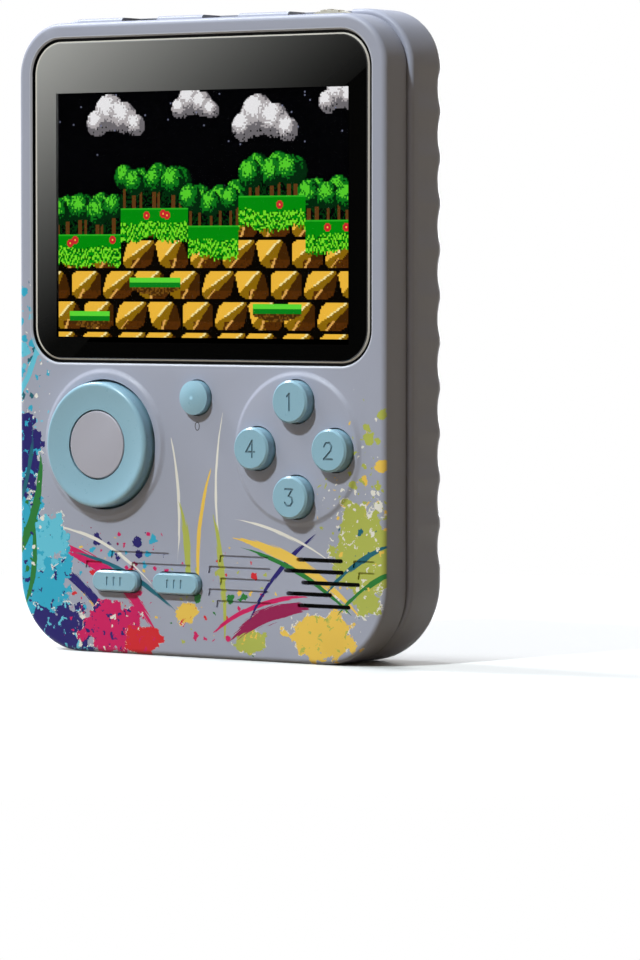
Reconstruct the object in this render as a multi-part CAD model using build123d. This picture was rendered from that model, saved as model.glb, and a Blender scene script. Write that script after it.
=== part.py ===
from build123d import *
import math
import os

# Handheld game console, in millimetres. +X is the user's right, +Z is up and the screen faces -Y.
# The origin is under the middle of the console, on the surface that it stands on.
# A depth is counted backwards from the flat front face.

# Case
front_width = 80.0
front_height = 112.0
front_depth = 6.7
rear_depth = 10.7
lip = 1.0
front_corner_top = 9.3
front_corner_bottom = 13.2
front_edge_round = 1.0
rear_edge_round = 3.0
lip_round = 0.8
front_wall = 2.0
side_wall = 1.8
back_wall = 1.8
parting_gap = 0.4
parting_step = 0.7
overrun = 1.0
fit_tolerance = side_wall / 1000

# Side grips
scallop_count = 11
scallop_land = 0.7
scallop_depth = 0.5
scallop_first_z = 16.4
scallop_top_margin = 8.7
grip_band = 1.8
arc_overrun_share = 0.1

# Screen
lens_side_margin = 3.5
lens_top_margin = 3.35
lens_plateau_gap = 1.25
lens_corner = 5.9
lens_gap = 0.5
lens_sunk = 0.1
lens_thick = 1.0
lens_bevel = 0.4
print_thick = 0.1
print_edge = 0.5
tape_thick = 0.2
recess_bevel = 0.3
picture_side_border = 4.65
picture_top_border = 9.2
picture_bottom_border = 4.1
window_margin = 1.0
display_side_border = 2.65
display_end_border = 2.95
display_wall = 0.3
foam_inset = 2.4
panel_thick = 1.2
backlight_thick = 1.5
flex_width = 18.0
flex_thick = 0.2
flex_length = 3.0

# Round plateaus and the controls on them
control_z = 37.1
pad_inset = 19.5
button_inset = 18.3
plateau_radius = 13.7
plateau_slope = 1.2
plateau_rise = 0.5
pad_radius = 11.15
pad_proud = 2.9
pad_edge_round = 0.7
pad_dish = 0.5
pad_gap = 0.45
pad_flange = 1.2
pad_flange_thick = 0.9
pad_flange_drop = 1.1
pad_shell = 1.3
insert_radius = 6.0
insert_groove = 0.25
insert_thick = 1.0
tilt_depth = 3.9
ball_radius = 1.1
ball_stem_radius = 0.7
ball_gap = 0.06
hub_swing_gap = 0.3
button_radius = 3.7
button_spread = 8.25
button_proud = 2.7
button_travel = 1.2
button_edge = 0.35
reset_rise = 8.6
reset_radius = 3.0
reset_proud = 1.2
reset_dome = 0.6
reset_travel = 0.8
menu_z = 12.9
menu_length = 10.1
menu_height = 3.7
menu_proud = 1.3
menu_edge = 0.3
menu_travel = 0.7
select_inset = 22.45
start_inset = 35.85
cap_gap = 0.22
cap_flange = 0.9
cap_flange_thick = 0.9
flange_gap = 0.15
stem_inset = 0.9
engraving_depth = 0.2
numeral_height = 2.9
numeral_stroke = 0.35
menu_mark = 0.5

# Rubber sheets under the controls
sheet_thick = 0.8
sheet_rim = 1.2
dome_radius = 1.9
dome_tip_radius = 1.4
pad_dome_reach = 8.0

# Decorative dashes and speaker slots
dash_top_z = 18.05
dash_pitch = 1.98
dash_width = 0.5
dash_depth = 0.3
dash_hook = 0.9
dash_hook_angle = 75
slot_width = 0.75

# Circuit board
board_setback = 0.7
board_thick = 1.2
board_margin = 1.0
board_hole_gap = 0.4
processor_size = 11.0
processor_rise = 1.1
processor_gap = 1.4
processor_drop = 46.0
memory_length = 12.0
memory_width = 6.0
memory_rise = 1.0
memory_inset = 13.5
memory_drop = 28.0
crystal_length = 4.8
crystal_width = 1.8
crystal_rise = 1.6
crystal_gap = 3.5
capacitor_radius = 1.5
capacitor_rise = 3.0
capacitor_pitch = 4.2
capacitor_count = 3
capacitor_inset = 14.5
capacitor_drop = 20.0

# Screws
case_screw_radius = 1.0
case_screw_length = 8.0
case_head_radius = 1.9
case_head_thick = 1.3
case_head_sunk = 3.6
case_boss_radius = 2.6
case_tower_radius = 3.2
counterbore_radius = 2.2
board_screw_radius = 0.8
board_screw_length = 4.5
board_head_radius = 1.5
board_head_thick = 1.0
board_boss_radius = 1.9
screw_fit = 0.03
drive_width = 0.45
drive_depth = 0.5
top_screw_inset = 6.0
top_screw_drop = 6.6
middle_screw_inset = 5.2
middle_screw_drop = 2.25
bottom_screw_inset = 26.5
bottom_screw_z = 6.4
board_top_screw_share = 0.23
board_top_screw_drop = 7.2
board_low_screw_inset = 7.0
board_low_screw_z = 26.0

# Speaker
speaker_inset = 13.2
speaker_foot = 3.1
speaker_radius = 9.0
speaker_depth = 3.4
speaker_wall = 0.5
cone_thick = 0.25
cone_rise = 1.2
magnet_radius = 5.5
magnet_depth = 1.0
gasket_width = 1.0
gasket_thick = 0.4
cloth_thick = 0.15
wire_radius = 0.35
wire_pitch = 1.6

# Battery and its door
battery_width = 34.0
battery_headroom = 34.6
battery_thick = 5.6
battery_corner = 1.5
battery_gap = 0.4
bay_floor = 0.8
bay_wall = 1.2
bay_bottom_z = 18.0
tab_room = 3.2
contact_room = 3.2
contact_width = 1.6
contact_pitch = 4.0
contact_thick = 0.3
contact_count = 3
door_ledge = 1.0
door_thick = 1.4
door_corner = 2.0
door_gap = 0.15
tab_width = 5.0
tab_thick = 1.1
tab_reach = 3.0
tab_root = 1.0
tab_x = 10.0
tab_swing_gap = 0.4
latch_width = 12.0
latch_length = 7.0
latch_slit = 0.6
rib_count = 3
rib_pitch = 1.8
rib_width = 0.7
rib_rise = 0.25
nail_radius = 5.0
nail_depth = 0.8

# Top openings, left to right, and what shows in them
opening_width = 7.9
opening_depth = 5.3
switch_share = 0.44625
switch_body_width = 8.6
switch_body_height = 4.2
switch_body_depth = 3.0
knob_width = 4.0
knob_depth = 2.0
knob_sunk = 0.3
knob_travel = 2.5
knob_stem_width = 2.0
knob_stem_gap = 0.1
knob_rib = 0.3
usb_x = 0.0
usb_width = 7.5
usb_height = 2.6
usb_length = 5.2
usb_wall = 0.3
usb_sunk = 0.8
usb_tongue_width = 3.8
usb_tongue_thick = 0.6
wheel_inset = 18.5
wheel_opening = 13.6
wheel_radius = 8.5
wheel_thick = 2.0
wheel_proud = 0.3
wheel_bore_gap = 0.06
wheel_notches = 36
wheel_notch_radius = 0.3
pot_radius = 4.5
pot_thick = 0.8
pot_axle_radius = 1.5
pot_gap = 0.2

# Jacks on the left side
av_jack_share = 11 / 14
pad_jack_share = 9 / 14
jack_length = 12.5
jack_block = 6.0
jack_nose_radius = 2.9
jack_nose_gap = 0.1
jack_pocket_radius = 4.2
jack_pocket_depth = 0.7
av_bore_radius = 1.8
pad_bore_radius = 1.3
jack_bore_length = 11.0

# Derived sizes
front_y = pad_proud - (pad_proud + front_depth + rear_depth) / 2
back_depth = front_depth + rear_depth
rear_width = front_width + 2 * lip
rear_height = front_height + lip
rear_corner_top = front_corner_top + lip
rear_corner_bottom = front_corner_bottom + lip
inner_width = front_width - 2 * side_wall
half_width = front_width / 2
scallop_pitch = (front_height - scallop_top_margin - scallop_first_z) / scallop_count
scallop_width = scallop_pitch - scallop_land
lens_width = front_width - 2 * lens_side_margin
lens_bottom = control_z + plateau_radius + lens_plateau_gap
lens_height = front_height - lens_top_margin - lens_bottom
lens_middle_z = lens_bottom + lens_height / 2
picture_width = lens_width - 2 * picture_side_border
picture_height = lens_height - picture_top_border - picture_bottom_border
picture_middle_z = lens_bottom + picture_bottom_border + picture_height / 2
display_width = picture_width + 2 * display_side_border
display_height = picture_height + 2 * display_end_border
pad_x = half_width - pad_inset
button_x = half_width - button_inset
reset_z = control_z + reset_rise
select_x = select_inset - half_width
start_x = start_inset - half_width
recess_depth = lens_sunk + lens_thick + print_thick + tape_thick
display_thick = display_wall + panel_thick + backlight_thick
display_back = front_wall + display_thick
board_front = front_depth + board_setback
board_back = board_front + board_thick
sheet_front = board_front - sheet_thick
flange_front = front_wall + flange_gap
pad_flange_front = front_wall + pad_flange_drop
pad_back = pad_flange_front + pad_flange_thick
speaker_front = front_wall + gasket_thick
speaker_x = half_width - speaker_inset
speaker_z = side_wall + speaker_foot + speaker_radius
battery_height = front_height - battery_headroom - bay_bottom_z - tab_room - contact_room
bay_back = back_depth - door_thick - door_gap
bay_front = bay_back - battery_thick - bay_floor
bay_width = battery_width + 2 * battery_gap
bay_height = tab_room + battery_height + contact_room
door_recess_width = bay_width + 2 * door_ledge
door_recess_height = bay_height + 2 * door_ledge
door_recess_bottom = bay_bottom_z - door_ledge
door_hinge_z = door_recess_bottom + door_gap
tab_drop = back_wall - door_thick + door_gap
tab_swing = math.hypot(door_thick + door_gap + tab_thick + tab_drop,
                       tab_reach - (bay_bottom_z - door_hinge_z))
opening_back = front_depth + opening_depth
processor_x = bay_width / 2 + bay_wall + processor_gap + processor_size / 2
processor_z = front_height - processor_drop
memory_x = half_width - memory_inset
memory_z = front_height - memory_drop
crystal_z = processor_z - processor_size / 2 - crystal_gap
capacitor_x = half_width - capacitor_inset
capacitor_z = front_height - capacitor_drop
switch_x = -switch_share * half_width
wheel_x = half_width - wheel_inset
av_z = av_jack_share * front_height
pad_jack_z = pad_jack_share * front_height
jack_depth = board_back + jack_block / 2
wheel_z = rear_height + wheel_proud - wheel_radius
wheel_front = board_back + pot_thick + pot_gap
case_screw_corners = [
    (half_width - top_screw_inset, front_height - top_screw_drop),
    (half_width - middle_screw_inset, lens_bottom - middle_screw_drop),
    (half_width - bottom_screw_inset, bottom_screw_z),
]
board_screw_corners = [
    (board_top_screw_share * half_width, front_height - board_top_screw_drop),
    (half_width - board_low_screw_inset, board_low_screw_z),
]
case_screw_places = [(side * x, z) for x, z in case_screw_corners for side in (-1, 1)]
board_screw_places = [(side * x, z) for x, z in board_screw_corners for side in (-1, 1)]
button_places = [
    (button_x + button_spread * math.cos(math.radians(turn)),
     control_z + button_spread * math.sin(math.radians(turn)))
    for turn in (90, 0, 270, 180)
]

# Dashes: row, left end and right end as shares of half the front's width
dash_shares = [
    (0, -0.478, -0.156), (0, 0.121, 0.385), (0, 0.835, 0.945),
    (1, -0.621, -0.530), (1, -0.365, -0.040), (1, 0.062, 0.395), (1, 0.860, 0.945),
    (2, 0.125, 0.400), (3, 0.062, 0.385), (4, 0.105, 0.400),
]
numeral_shares = {
    1: [(-0.15, 0.32), (0.03, 0.50), (0.03, -0.50)],
    2: [(-0.28, 0.25), (-0.15, 0.46), (0.12, 0.48), (0.28, 0.27), (0.22, 0.02), (-0.30, -0.50),
        (0.32, -0.50)],
    3: [(-0.27, 0.50), (0.27, 0.50), (-0.02, 0.10), (0.22, 0.0), (0.28, -0.25), (0.12, -0.48), (-0.15, -0.48),
        (-0.29, -0.30)],
    4: [(0.14, -0.50), (0.14, 0.50), (-0.30, -0.18), (0.32, -0.18)],
}
slot_shares = [(0, 0.535, 0.780), (1, 0.468, 0.785), (2, 0.560, 0.870), (3, 0.480, 0.725), (4, 0.540, 0.820)]


def face_plane(depth):
    """A sketch plane at a depth, seen from the front: x to the right, y up."""
    return Plane(origin=(0, front_y + depth, 0), x_dir=(1, 0, 0), z_dir=(0, -1, 0))


def slab(sketch, near, far):
    """A sketch given thickness from one depth to another."""
    return extrude(face_plane(far) * sketch, amount=far - near)


def disc(x, z, radius, near, far):
    return slab(Pos(x, z) * Circle(radius), near, far)


def block(x0, x1, near, far, z0, z1):
    return slab(Pos((x0 + x1) / 2, (z0 + z1) / 2) * Rectangle(x1 - x0, z1 - z0), near, far)


def turned(x, z, outline):
    """A profile of (radius, depth) turned about an axis that runs front to back at (x, z)."""
    plane = Plane(origin=(x, front_y, z), x_dir=(1, 0, 0), z_dir=(0, 0, 1))
    return revolve(plane * outline, Axis((x, front_y, z), (0, 1, 0)))


def rounded_panel(width, bottom, top, radius_bottom, radius_top):
    """An upright panel outline with its own radii at the bottom and the top."""
    panel = Pos(0, (bottom + top) / 2) * Rectangle(width, top - bottom)
    panel = fillet(panel.vertices().group_by(Axis.Y)[0], radius_bottom)
    return fillet(panel.vertices().group_by(Axis.Y)[-1], radius_top)


def soft_panel(width, height, radius, middle_z, grow=0.0):
    return Pos(0, middle_z) * RectangleRounded(width + 2 * grow, height + 2 * grow, radius + grow)


def pill(x, z, length, height):
    return Pos(x, z) * SlotOverall(length, height)


def edges_at(part, depth, widest=None):
    """The edges that lie in the plane at a depth and, if a width is given, are no wider than that."""
    y = front_y + depth
    found = part.edges().filter_by_position(Axis.Y, y - fit_tolerance, y + fit_tolerance)
    if widest is None:
        return found
    return found.filter_by(lambda edge: edge.bounding_box().size.X <= widest)


# Case

def lens_outline(grow=0.0):
    return soft_panel(lens_width, lens_height, lens_corner, lens_middle_z, grow)


def plateau(x):
    """A low round rise of the front face with a soft S-shaped flank."""
    flank = Spline((plateau_radius, 0), (plateau_radius - plateau_slope, -plateau_rise),
                   tangents=[(-1, 0), (-1, 0)])
    rest = Polyline((plateau_radius - plateau_slope, -plateau_rise), (0, -plateau_rise), (0, front_wall),
                    (plateau_radius, front_wall), (plateau_radius, 0))
    return turned(x, control_z, make_face(flank + rest))


def dash(row, left_share, right_share):
    """One engraved dash with a short hook at its left end."""
    z = dash_top_z - row * dash_pitch
    left = left_share * half_width
    right = right_share * half_width
    line = Pos((left + right) / 2, z) * SlotOverall(right - left, dash_width)
    hook = SlotOverall(dash_hook + dash_width, dash_width, rotation=dash_hook_angle)
    hook = Pos(left + dash_width / 2, z - dash_hook / 2) * hook
    return slab(line + hook, -overrun, dash_depth)


def speaker_slot(row, left_share, right_share):
    left = left_share * half_width
    right = right_share * half_width
    z = dash_top_z - row * dash_pitch
    slot = Pos((left + right) / 2, z) * SlotOverall(right - left, slot_width)
    return slab(slot, -overrun, front_wall + overrun)


def make_front_shell():
    outline = rounded_panel(front_width, 0, front_height, front_corner_bottom, front_corner_top)
    inner = rounded_panel(inner_width, side_wall, front_height - side_wall,
                          front_corner_bottom - side_wall, front_corner_top - side_wall)
    stepped = rounded_panel(front_width - 2 * parting_step, parting_step, front_height - parting_step,
                            front_corner_bottom - parting_step, front_corner_top - parting_step)
    shell = slab(outline, 0, front_depth - parting_gap) + slab(stepped, front_wall, front_depth)
    shell = fillet(edges_at(shell, 0), front_edge_round)
    shell -= slab(inner, front_wall, front_depth + overrun)
    shell += plateau(-pad_x) + plateau(button_x)
    shell -= slab(lens_outline(lens_gap), -overrun, recess_depth)
    recess_edges = edges_at(shell, 0, lens_width + 2 * (lens_gap + fit_tolerance))
    recess_edges = recess_edges.filter_by(lambda edge: edge.center().Z > lens_bottom - lens_gap - fit_tolerance)
    shell = chamfer(recess_edges, recess_bevel)
    window = soft_panel(picture_width, picture_height, lens_gap, picture_middle_z, window_margin)
    shell -= slab(window, -overrun, front_wall + overrun)
    shell -= disc(-pad_x, control_z, pad_radius + pad_gap, -overrun, front_wall + overrun)
    for x, z in button_places:
        shell -= disc(x, z, button_radius + cap_gap, -overrun, front_wall + overrun)
    shell -= disc(0, reset_z, reset_radius + cap_gap, -overrun, front_wall + overrun)
    for x in (select_x, start_x):
        shell -= slab(pill(x, menu_z, menu_length + 2 * cap_gap, menu_height + 2 * cap_gap),
                      -overrun, front_wall + overrun)
    shell -= [dash(*place) for place in dash_shares] + [speaker_slot(*place) for place in slot_shares]
    for x, z in case_screw_places:
        shell += disc(x, z, case_boss_radius, front_wall, board_back)
        shell -= disc(x, z, case_screw_radius + screw_fit, board_back - case_screw_length,
                      board_back + overrun)
    for x, z in board_screw_places:
        shell += disc(x, z, board_boss_radius, front_wall, board_front)
        shell -= disc(x, z, board_screw_radius + screw_fit, board_back - board_screw_length,
                      board_front + overrun)
    return shell


def scallop_tool(side, z):
    """The cutter of one scallop: straight along the side, then round the back edge until it runs out."""
    half = scallop_width / 2
    radius = (half ** 2 + scallop_depth ** 2) / (2 * scallop_depth)
    crest = rear_width / 2
    reach = math.sqrt(radius ** 2 - (radius - scallop_depth * (1 + arc_overrun_share)) ** 2)
    crest_out = crest + scallop_depth * arc_overrun_share
    arc = ThreePointArc((crest_out, z - reach), (crest - scallop_depth, z), (crest_out, z + reach))
    box = Polyline((crest_out, z + reach), (crest + overrun, z + reach), (crest + overrun, z - reach),
                   (crest_out, z - reach))
    face = face_plane(back_depth - rear_edge_round) * make_face(arc + box)
    start = front_depth + grip_band
    straight = extrude(face, amount=back_depth - rear_edge_round - start)
    inset = rear_edge_round - scallop_depth
    round_radius = (inset ** 2 + rear_edge_round ** 2) / (2 * inset)
    axis = Axis((crest - scallop_depth - round_radius, front_y + back_depth - rear_edge_round, z), (0, 0, 1))
    turn = revolve(face, axis, 90)
    tool = straight + turn
    return tool if side > 0 else mirror(tool, Plane.YZ)


def bay_solid():
    middle = bay_bottom_z + bay_height / 2
    outer = Pos(0, middle) * Rectangle(bay_width + 2 * bay_wall, bay_height + 2 * bay_wall)
    return slab(outer, bay_front, back_depth - back_wall)


def make_rear_shell():
    outline = rounded_panel(rear_width, 0, rear_height, rear_corner_bottom, rear_corner_top)
    inner = rounded_panel(inner_width, side_wall, front_height - side_wall,
                          front_corner_bottom - side_wall, front_corner_top - side_wall)
    shell = slab(outline, front_depth, back_depth)
    shell = fillet(edges_at(shell, back_depth), rear_edge_round)
    shell = fillet(edges_at(shell, front_depth), lip_round)
    shell -= slab(inner, front_depth - overrun, back_depth - back_wall)
    scallop_middles = [scallop_first_z + scallop_pitch * (turn + 1 / 2) for turn in range(scallop_count)]
    for side in (-1, 1):
        shell -= [scallop_tool(side, z) for z in scallop_middles]
    shell += bay_solid()
    shell = add_screw_towers(shell)
    middle = bay_bottom_z + bay_height / 2
    shell -= slab(Pos(0, middle) * Rectangle(bay_width, bay_height), bay_front + bay_floor,
                  back_depth + overrun)
    recess = Pos(0, middle) * RectangleRounded(door_recess_width, door_recess_height, door_corner)
    shell -= slab(recess, bay_back, back_depth + overrun)
    for side in (-1, 1):
        half = tab_width / 2 + battery_gap
        tab_front = back_depth - tab_swing - tab_swing_gap
        shell -= block(side * tab_x - half, side * tab_x + half, tab_front, bay_back + fit_tolerance,
                       bay_bottom_z - bay_wall - overrun, bay_bottom_z + fit_tolerance)
    nail = disc(0, door_recess_bottom + door_recess_height, nail_radius, back_depth - nail_depth,
                back_depth + overrun)
    shell -= nail
    return cut_outlets(shell)


def add_screw_towers(shell):
    """A tower and a counterbored hole for each case screw."""
    for x, z in case_screw_places:
        shell += disc(x, z, case_tower_radius, board_back, back_depth - back_wall)
        shell -= disc(x, z, case_screw_radius + board_hole_gap, board_back - overrun, back_depth + overrun)
        shell -= disc(x, z, counterbore_radius, back_depth - case_head_sunk - case_head_thick,
                      back_depth + overrun)
    return shell


def cut_outlets(shell):
    """The three top openings and the two jack holes with their flat pockets."""
    top = front_height - side_wall - overrun
    for x, width in ((switch_x, opening_width), (usb_x, opening_width), (wheel_x, wheel_opening)):
        shell -= block(x - width / 2, x + width / 2, front_depth - overrun, opening_back, top,
                       rear_height + overrun)
    for z in (av_z, pad_jack_z):
        pocket = Plane(origin=(-rear_width / 2 - overrun, front_y + jack_depth, z), z_dir=(1, 0, 0))
        shell -= pocket * extrude(Circle(jack_pocket_radius), amount=overrun + jack_pocket_depth)
        shell -= pocket * extrude(Circle(jack_nose_radius + jack_nose_gap),
                                  amount=overrun + lip + side_wall + overrun)
    return shell


# Screen

def make_screen_lens():
    lens = slab(lens_outline(), lens_sunk, lens_sunk + lens_thick)
    return chamfer(edges_at(lens, lens_sunk), lens_bevel)


def make_lens_print():
    near = lens_sunk + lens_thick
    picture = Pos(0, picture_middle_z) * Rectangle(picture_width, picture_height)
    return slab(lens_outline(-print_edge) - picture, near, near + print_thick)


def make_lens_tape():
    near = lens_sunk + lens_thick + print_thick
    window = soft_panel(picture_width, picture_height, lens_gap, picture_middle_z, window_margin)
    return slab(lens_outline(-print_edge) - window, near, near + tape_thick)


def display_outline(shrink=0.0):
    return Pos(0, picture_middle_z) * Rectangle(display_width - 2 * shrink, display_height - 2 * shrink)


def make_display_frame():
    frame = slab(display_outline(), front_wall, display_back)
    frame -= slab(display_outline(display_wall), front_wall + display_wall, display_back + overrun)
    return frame - slab(soft_panel(picture_width, picture_height, lens_gap, picture_middle_z, window_margin),
                        front_wall - overrun, display_back)


def make_display_panel():
    near = front_wall + display_wall
    return slab(display_outline(display_wall), near, near + panel_thick)


def make_display_backlight():
    near = front_wall + display_wall + panel_thick
    return slab(display_outline(display_wall), near, near + backlight_thick)


def make_display_foam():
    return slab(display_outline(foam_inset), display_back, board_front)


def make_display_flex():
    """A ribbon that leaves the lower edge of the display and turns back on to the board."""
    bottom = picture_middle_z - display_height / 2
    half = flex_width / 2
    sheet = block(-half, half, display_back, display_back + flex_thick, bottom - flex_length,
                  bottom + sheet_rim)
    drop = block(-half, half, display_back, board_front, bottom - flex_length,
                 bottom - flex_length + flex_thick)
    return sheet + drop


# Controls

def make_pad_disc():
    """A round pad with a dished face, a socket for its insert and a flange behind the wall."""
    radius = pad_radius
    round_ = pad_edge_round
    top = -pad_proud
    seat = insert_radius + insert_groove
    floor = top + pad_dish + insert_thick
    face = ThreePointArc((radius - round_, top), ((radius + seat) / 2, top + pad_dish * 3 / 5),
                         (seat, top + pad_dish))
    round_inset = round_ * (1 - math.sqrt(1 / 2))
    edge = ThreePointArc((radius, top + round_), (radius - round_inset, top + round_inset),
                         (radius - round_, top))
    rest = Polyline((seat, top + pad_dish), (seat, floor), (0, floor), (0, floor + pad_shell),
                    (radius - pad_shell, floor + pad_shell), (radius - pad_shell, pad_back),
                    (radius + pad_flange, pad_back), (radius + pad_flange, pad_flange_front),
                    (radius, pad_flange_front), (radius, top + round_))
    pad = turned(-pad_x, control_z, make_face(edge + face + rest))
    hub_end = tilt_depth - ball_radius - ball_gap
    pad += disc(-pad_x, control_z, ball_stem_radius + pad_shell, floor + pad_shell, hub_end)
    pad -= disc(-pad_x, control_z, ball_stem_radius + hub_swing_gap, floor + pad_shell, hub_end + overrun)
    for turn in range(4):
        angle = math.radians(90 * turn)
        x = -pad_x + pad_dome_reach * math.cos(angle)
        z = control_z + pad_dome_reach * math.sin(angle)
        pad += disc(x, z, dome_radius, floor + pad_shell, pad_back)
    return pad


def make_pad_insert():
    top = -pad_proud + pad_dish
    insert = disc(-pad_x, control_z, insert_radius, top, top + insert_thick)
    return fillet(edges_at(insert, top), insert_groove)


def make_pad_pivot():
    """The ball that the pad rocks on, with its stem in the pad's hub."""
    floor = -pad_proud + pad_dish + insert_thick + pad_shell
    ball = Pos(-pad_x, front_y + tilt_depth, control_z) * Sphere(ball_radius)
    return ball + disc(-pad_x, control_z, ball_stem_radius, floor + ball_gap, tilt_depth)


def make_pad_pivot_post():
    post = disc(-pad_x, control_z, ball_radius + pad_shell / 2, tilt_depth, board_front)
    return post - Pos(-pad_x, front_y + tilt_depth, control_z) * Sphere(ball_radius + ball_gap)


def dome(x, z, near):
    """One rubber dome: a narrow top on a wider foot."""
    tip = Pos(x, z) * Circle(dome_tip_radius)
    foot = Pos(x, z) * Circle(dome_radius)
    return loft([face_plane(near) * tip, face_plane(sheet_front) * foot])


def make_pad_membrane():
    sheet = disc(-pad_x, control_z, pad_radius + sheet_rim, sheet_front, board_front)
    sheet -= disc(-pad_x, control_z, ball_radius + pad_shell, sheet_front - overrun, board_front + overrun)
    for turn in range(4):
        angle = math.radians(90 * turn)
        sheet += dome(-pad_x + pad_dome_reach * math.cos(angle),
                      control_z + pad_dome_reach * math.sin(angle), pad_back)
    return sheet


def stem_end(travel):
    """The depth of a cap's rear end, which leaves room for its travel before the rubber sheet."""
    return sheet_front - travel - flange_gap


def stroke(start, end, width):
    """A round-ended line between two points of a sketch."""
    run = Vector(*end) - Vector(*start)
    angle = math.degrees(math.atan2(run.Y, run.X))
    middle = (Vector(*start) + Vector(*end)) / 2
    return Pos(middle.X, middle.Y) * Rot(0, 0, angle) * SlotCenterToCenter(run.length, width)


def numeral(number, x, z):
    """An engraved numeral drawn with plain strokes."""
    shares = numeral_shares[number]
    points = [(x + share_x * numeral_height, z + share_z * numeral_height) for share_x, share_z in shares]
    strokes = [stroke(start, end, numeral_stroke) for start, end in zip(points, points[1:])]
    return [slab(line, -button_proud - overrun, engraving_depth - button_proud) for line in strokes]


def make_face_button(number):
    x, z = button_places[number - 1]
    cap = disc(x, z, button_radius, -button_proud, flange_front)
    cap = chamfer(edges_at(cap, -button_proud), button_edge)
    cap += disc(x, z, button_radius + cap_flange, flange_front, flange_front + cap_flange_thick)
    cap += disc(x, z, button_radius - 2 * stem_inset, flange_front, stem_end(button_travel))
    return cap - numeral(number, x, z)


def make_face_button_membrane():
    sheet = disc(button_x, control_z, button_spread + dome_radius + sheet_rim, sheet_front, board_front)
    for x, z in button_places:
        sheet += dome(x, z, stem_end(button_travel))
    return sheet


def make_reset_button():
    crown_radius = (reset_radius ** 2 + reset_dome ** 2) / (2 * reset_dome)
    middle = reset_radius / 2
    middle_depth = crown_radius - math.sqrt(crown_radius ** 2 - middle ** 2) - reset_proud - reset_dome
    crown = ThreePointArc((reset_radius, -reset_proud), (middle, middle_depth),
                          (0, -reset_proud - reset_dome))
    rest = Polyline((0, -reset_proud - reset_dome), (0, flange_front), (reset_radius, flange_front),
                    (reset_radius, -reset_proud))
    cap = turned(0, reset_z, make_face(crown + rest))
    cap += disc(0, reset_z, reset_radius + cap_flange, flange_front, flange_front + cap_flange_thick)
    return cap + disc(0, reset_z, reset_radius - stem_inset, flange_front, stem_end(reset_travel))


def make_reset_membrane():
    sheet = disc(0, reset_z, dome_radius + sheet_rim, sheet_front, board_front)
    return sheet + dome(0, reset_z, stem_end(reset_travel))


def make_menu_button(x):
    """A pill-shaped cap with three small engraved bars."""
    cap = slab(pill(x, menu_z, menu_length, menu_height), -menu_proud, flange_front)
    cap = chamfer(edges_at(cap, -menu_proud), menu_edge)
    cap += slab(pill(x, menu_z, menu_length + 2 * cap_flange, menu_height + 2 * cap_flange),
                flange_front, flange_front + cap_flange_thick)
    cap += slab(pill(x, menu_z, menu_length - 2 * stem_inset, menu_height - stem_inset),
                flange_front, stem_end(menu_travel))
    for step in (-1, 0, 1):
        bar = Pos(x + step * 3 * menu_mark, menu_z) * Rectangle(menu_mark, 3 * menu_mark)
        cap -= slab(bar, -menu_proud - overrun, engraving_depth - menu_proud)
    return cap


def make_menu_membrane():
    middle = (select_x + start_x) / 2
    length = start_x - select_x + 2 * (dome_radius + sheet_rim)
    sheet = slab(pill(middle, menu_z, length, 2 * dome_radius + sheet_rim), sheet_front, board_front)
    for x in (select_x, start_x):
        sheet += dome(x, menu_z, stem_end(menu_travel))
    return sheet


# Board and what it carries

def make_main_board():
    grow = board_margin
    board = slab(rounded_panel(inner_width - 2 * grow, side_wall + grow, front_height - side_wall - grow,
                               front_corner_bottom - side_wall - grow, front_corner_top - side_wall - grow),
                 board_front, board_back)
    for x, z in case_screw_places:
        board -= disc(x, z, case_boss_radius + board_hole_gap, board_front - overrun, board_back + overrun)
    for x, z in board_screw_places:
        board -= disc(x, z, board_screw_radius + screw_fit, board_front - overrun, board_back + overrun)
    return board


def make_processor():
    half = processor_size / 2
    body = block(processor_x - half, processor_x + half, board_back, board_back + processor_rise,
                 processor_z - half, processor_z + half)
    return chamfer(edges_at(body, board_back + processor_rise), processor_rise / 4)


def make_memory_chip():
    half_length = memory_length / 2
    half_breadth = memory_width / 2
    return block(memory_x - half_length, memory_x + half_length, board_back, board_back + memory_rise,
                 memory_z - half_breadth, memory_z + half_breadth)


def make_crystal():
    can = pill(processor_x, crystal_z, crystal_length, crystal_width)
    return slab(can, board_back, board_back + crystal_rise)


def make_board_capacitors():
    cans = []
    for turn in range(capacitor_count):
        x = capacitor_x + capacitor_pitch * (turn - (capacitor_count - 1) / 2)
        can = disc(x, capacitor_z, capacitor_radius, board_back, board_back + capacitor_rise)
        cans.append(can.solid())
    return Compound(children=cans)


def screw(x, z, radius, near, far, head_radius, head_thick):
    """A pan head screw driven from behind, with a cross recess."""
    body = disc(x, z, radius, near, far) + disc(x, z, head_radius, far, far + head_thick)
    body = fillet(edges_at(body, far + head_thick), head_thick / 3)
    top = far + head_thick
    for wide, tall in ((3 * drive_width, drive_width), (drive_width, 3 * drive_width)):
        body -= slab(Pos(x, z) * Rectangle(wide, tall), top - drive_depth, top + overrun)
    return body.solid()


def make_case_screws():
    seat = back_depth - case_head_sunk - case_head_thick
    return Compound(children=[screw(x, z, case_screw_radius, seat - case_screw_length, seat,
                                    case_head_radius, case_head_thick) for x, z in case_screw_places])


def make_board_screws():
    return Compound(children=[screw(x, z, board_screw_radius, board_back - board_screw_length, board_back,
                                    board_head_radius, board_head_thick) for x, z in board_screw_places])


# Sound

def make_speaker_gasket():
    inner = speaker_radius - gasket_width
    ring = disc(speaker_x, speaker_z, speaker_radius, front_wall, speaker_front)
    return ring - disc(speaker_x, speaker_z, inner, front_wall - overrun, speaker_front + overrun)


def make_speaker_cloth():
    return disc(speaker_x, speaker_z, speaker_radius - gasket_width, front_wall, front_wall + cloth_thick)


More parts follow.
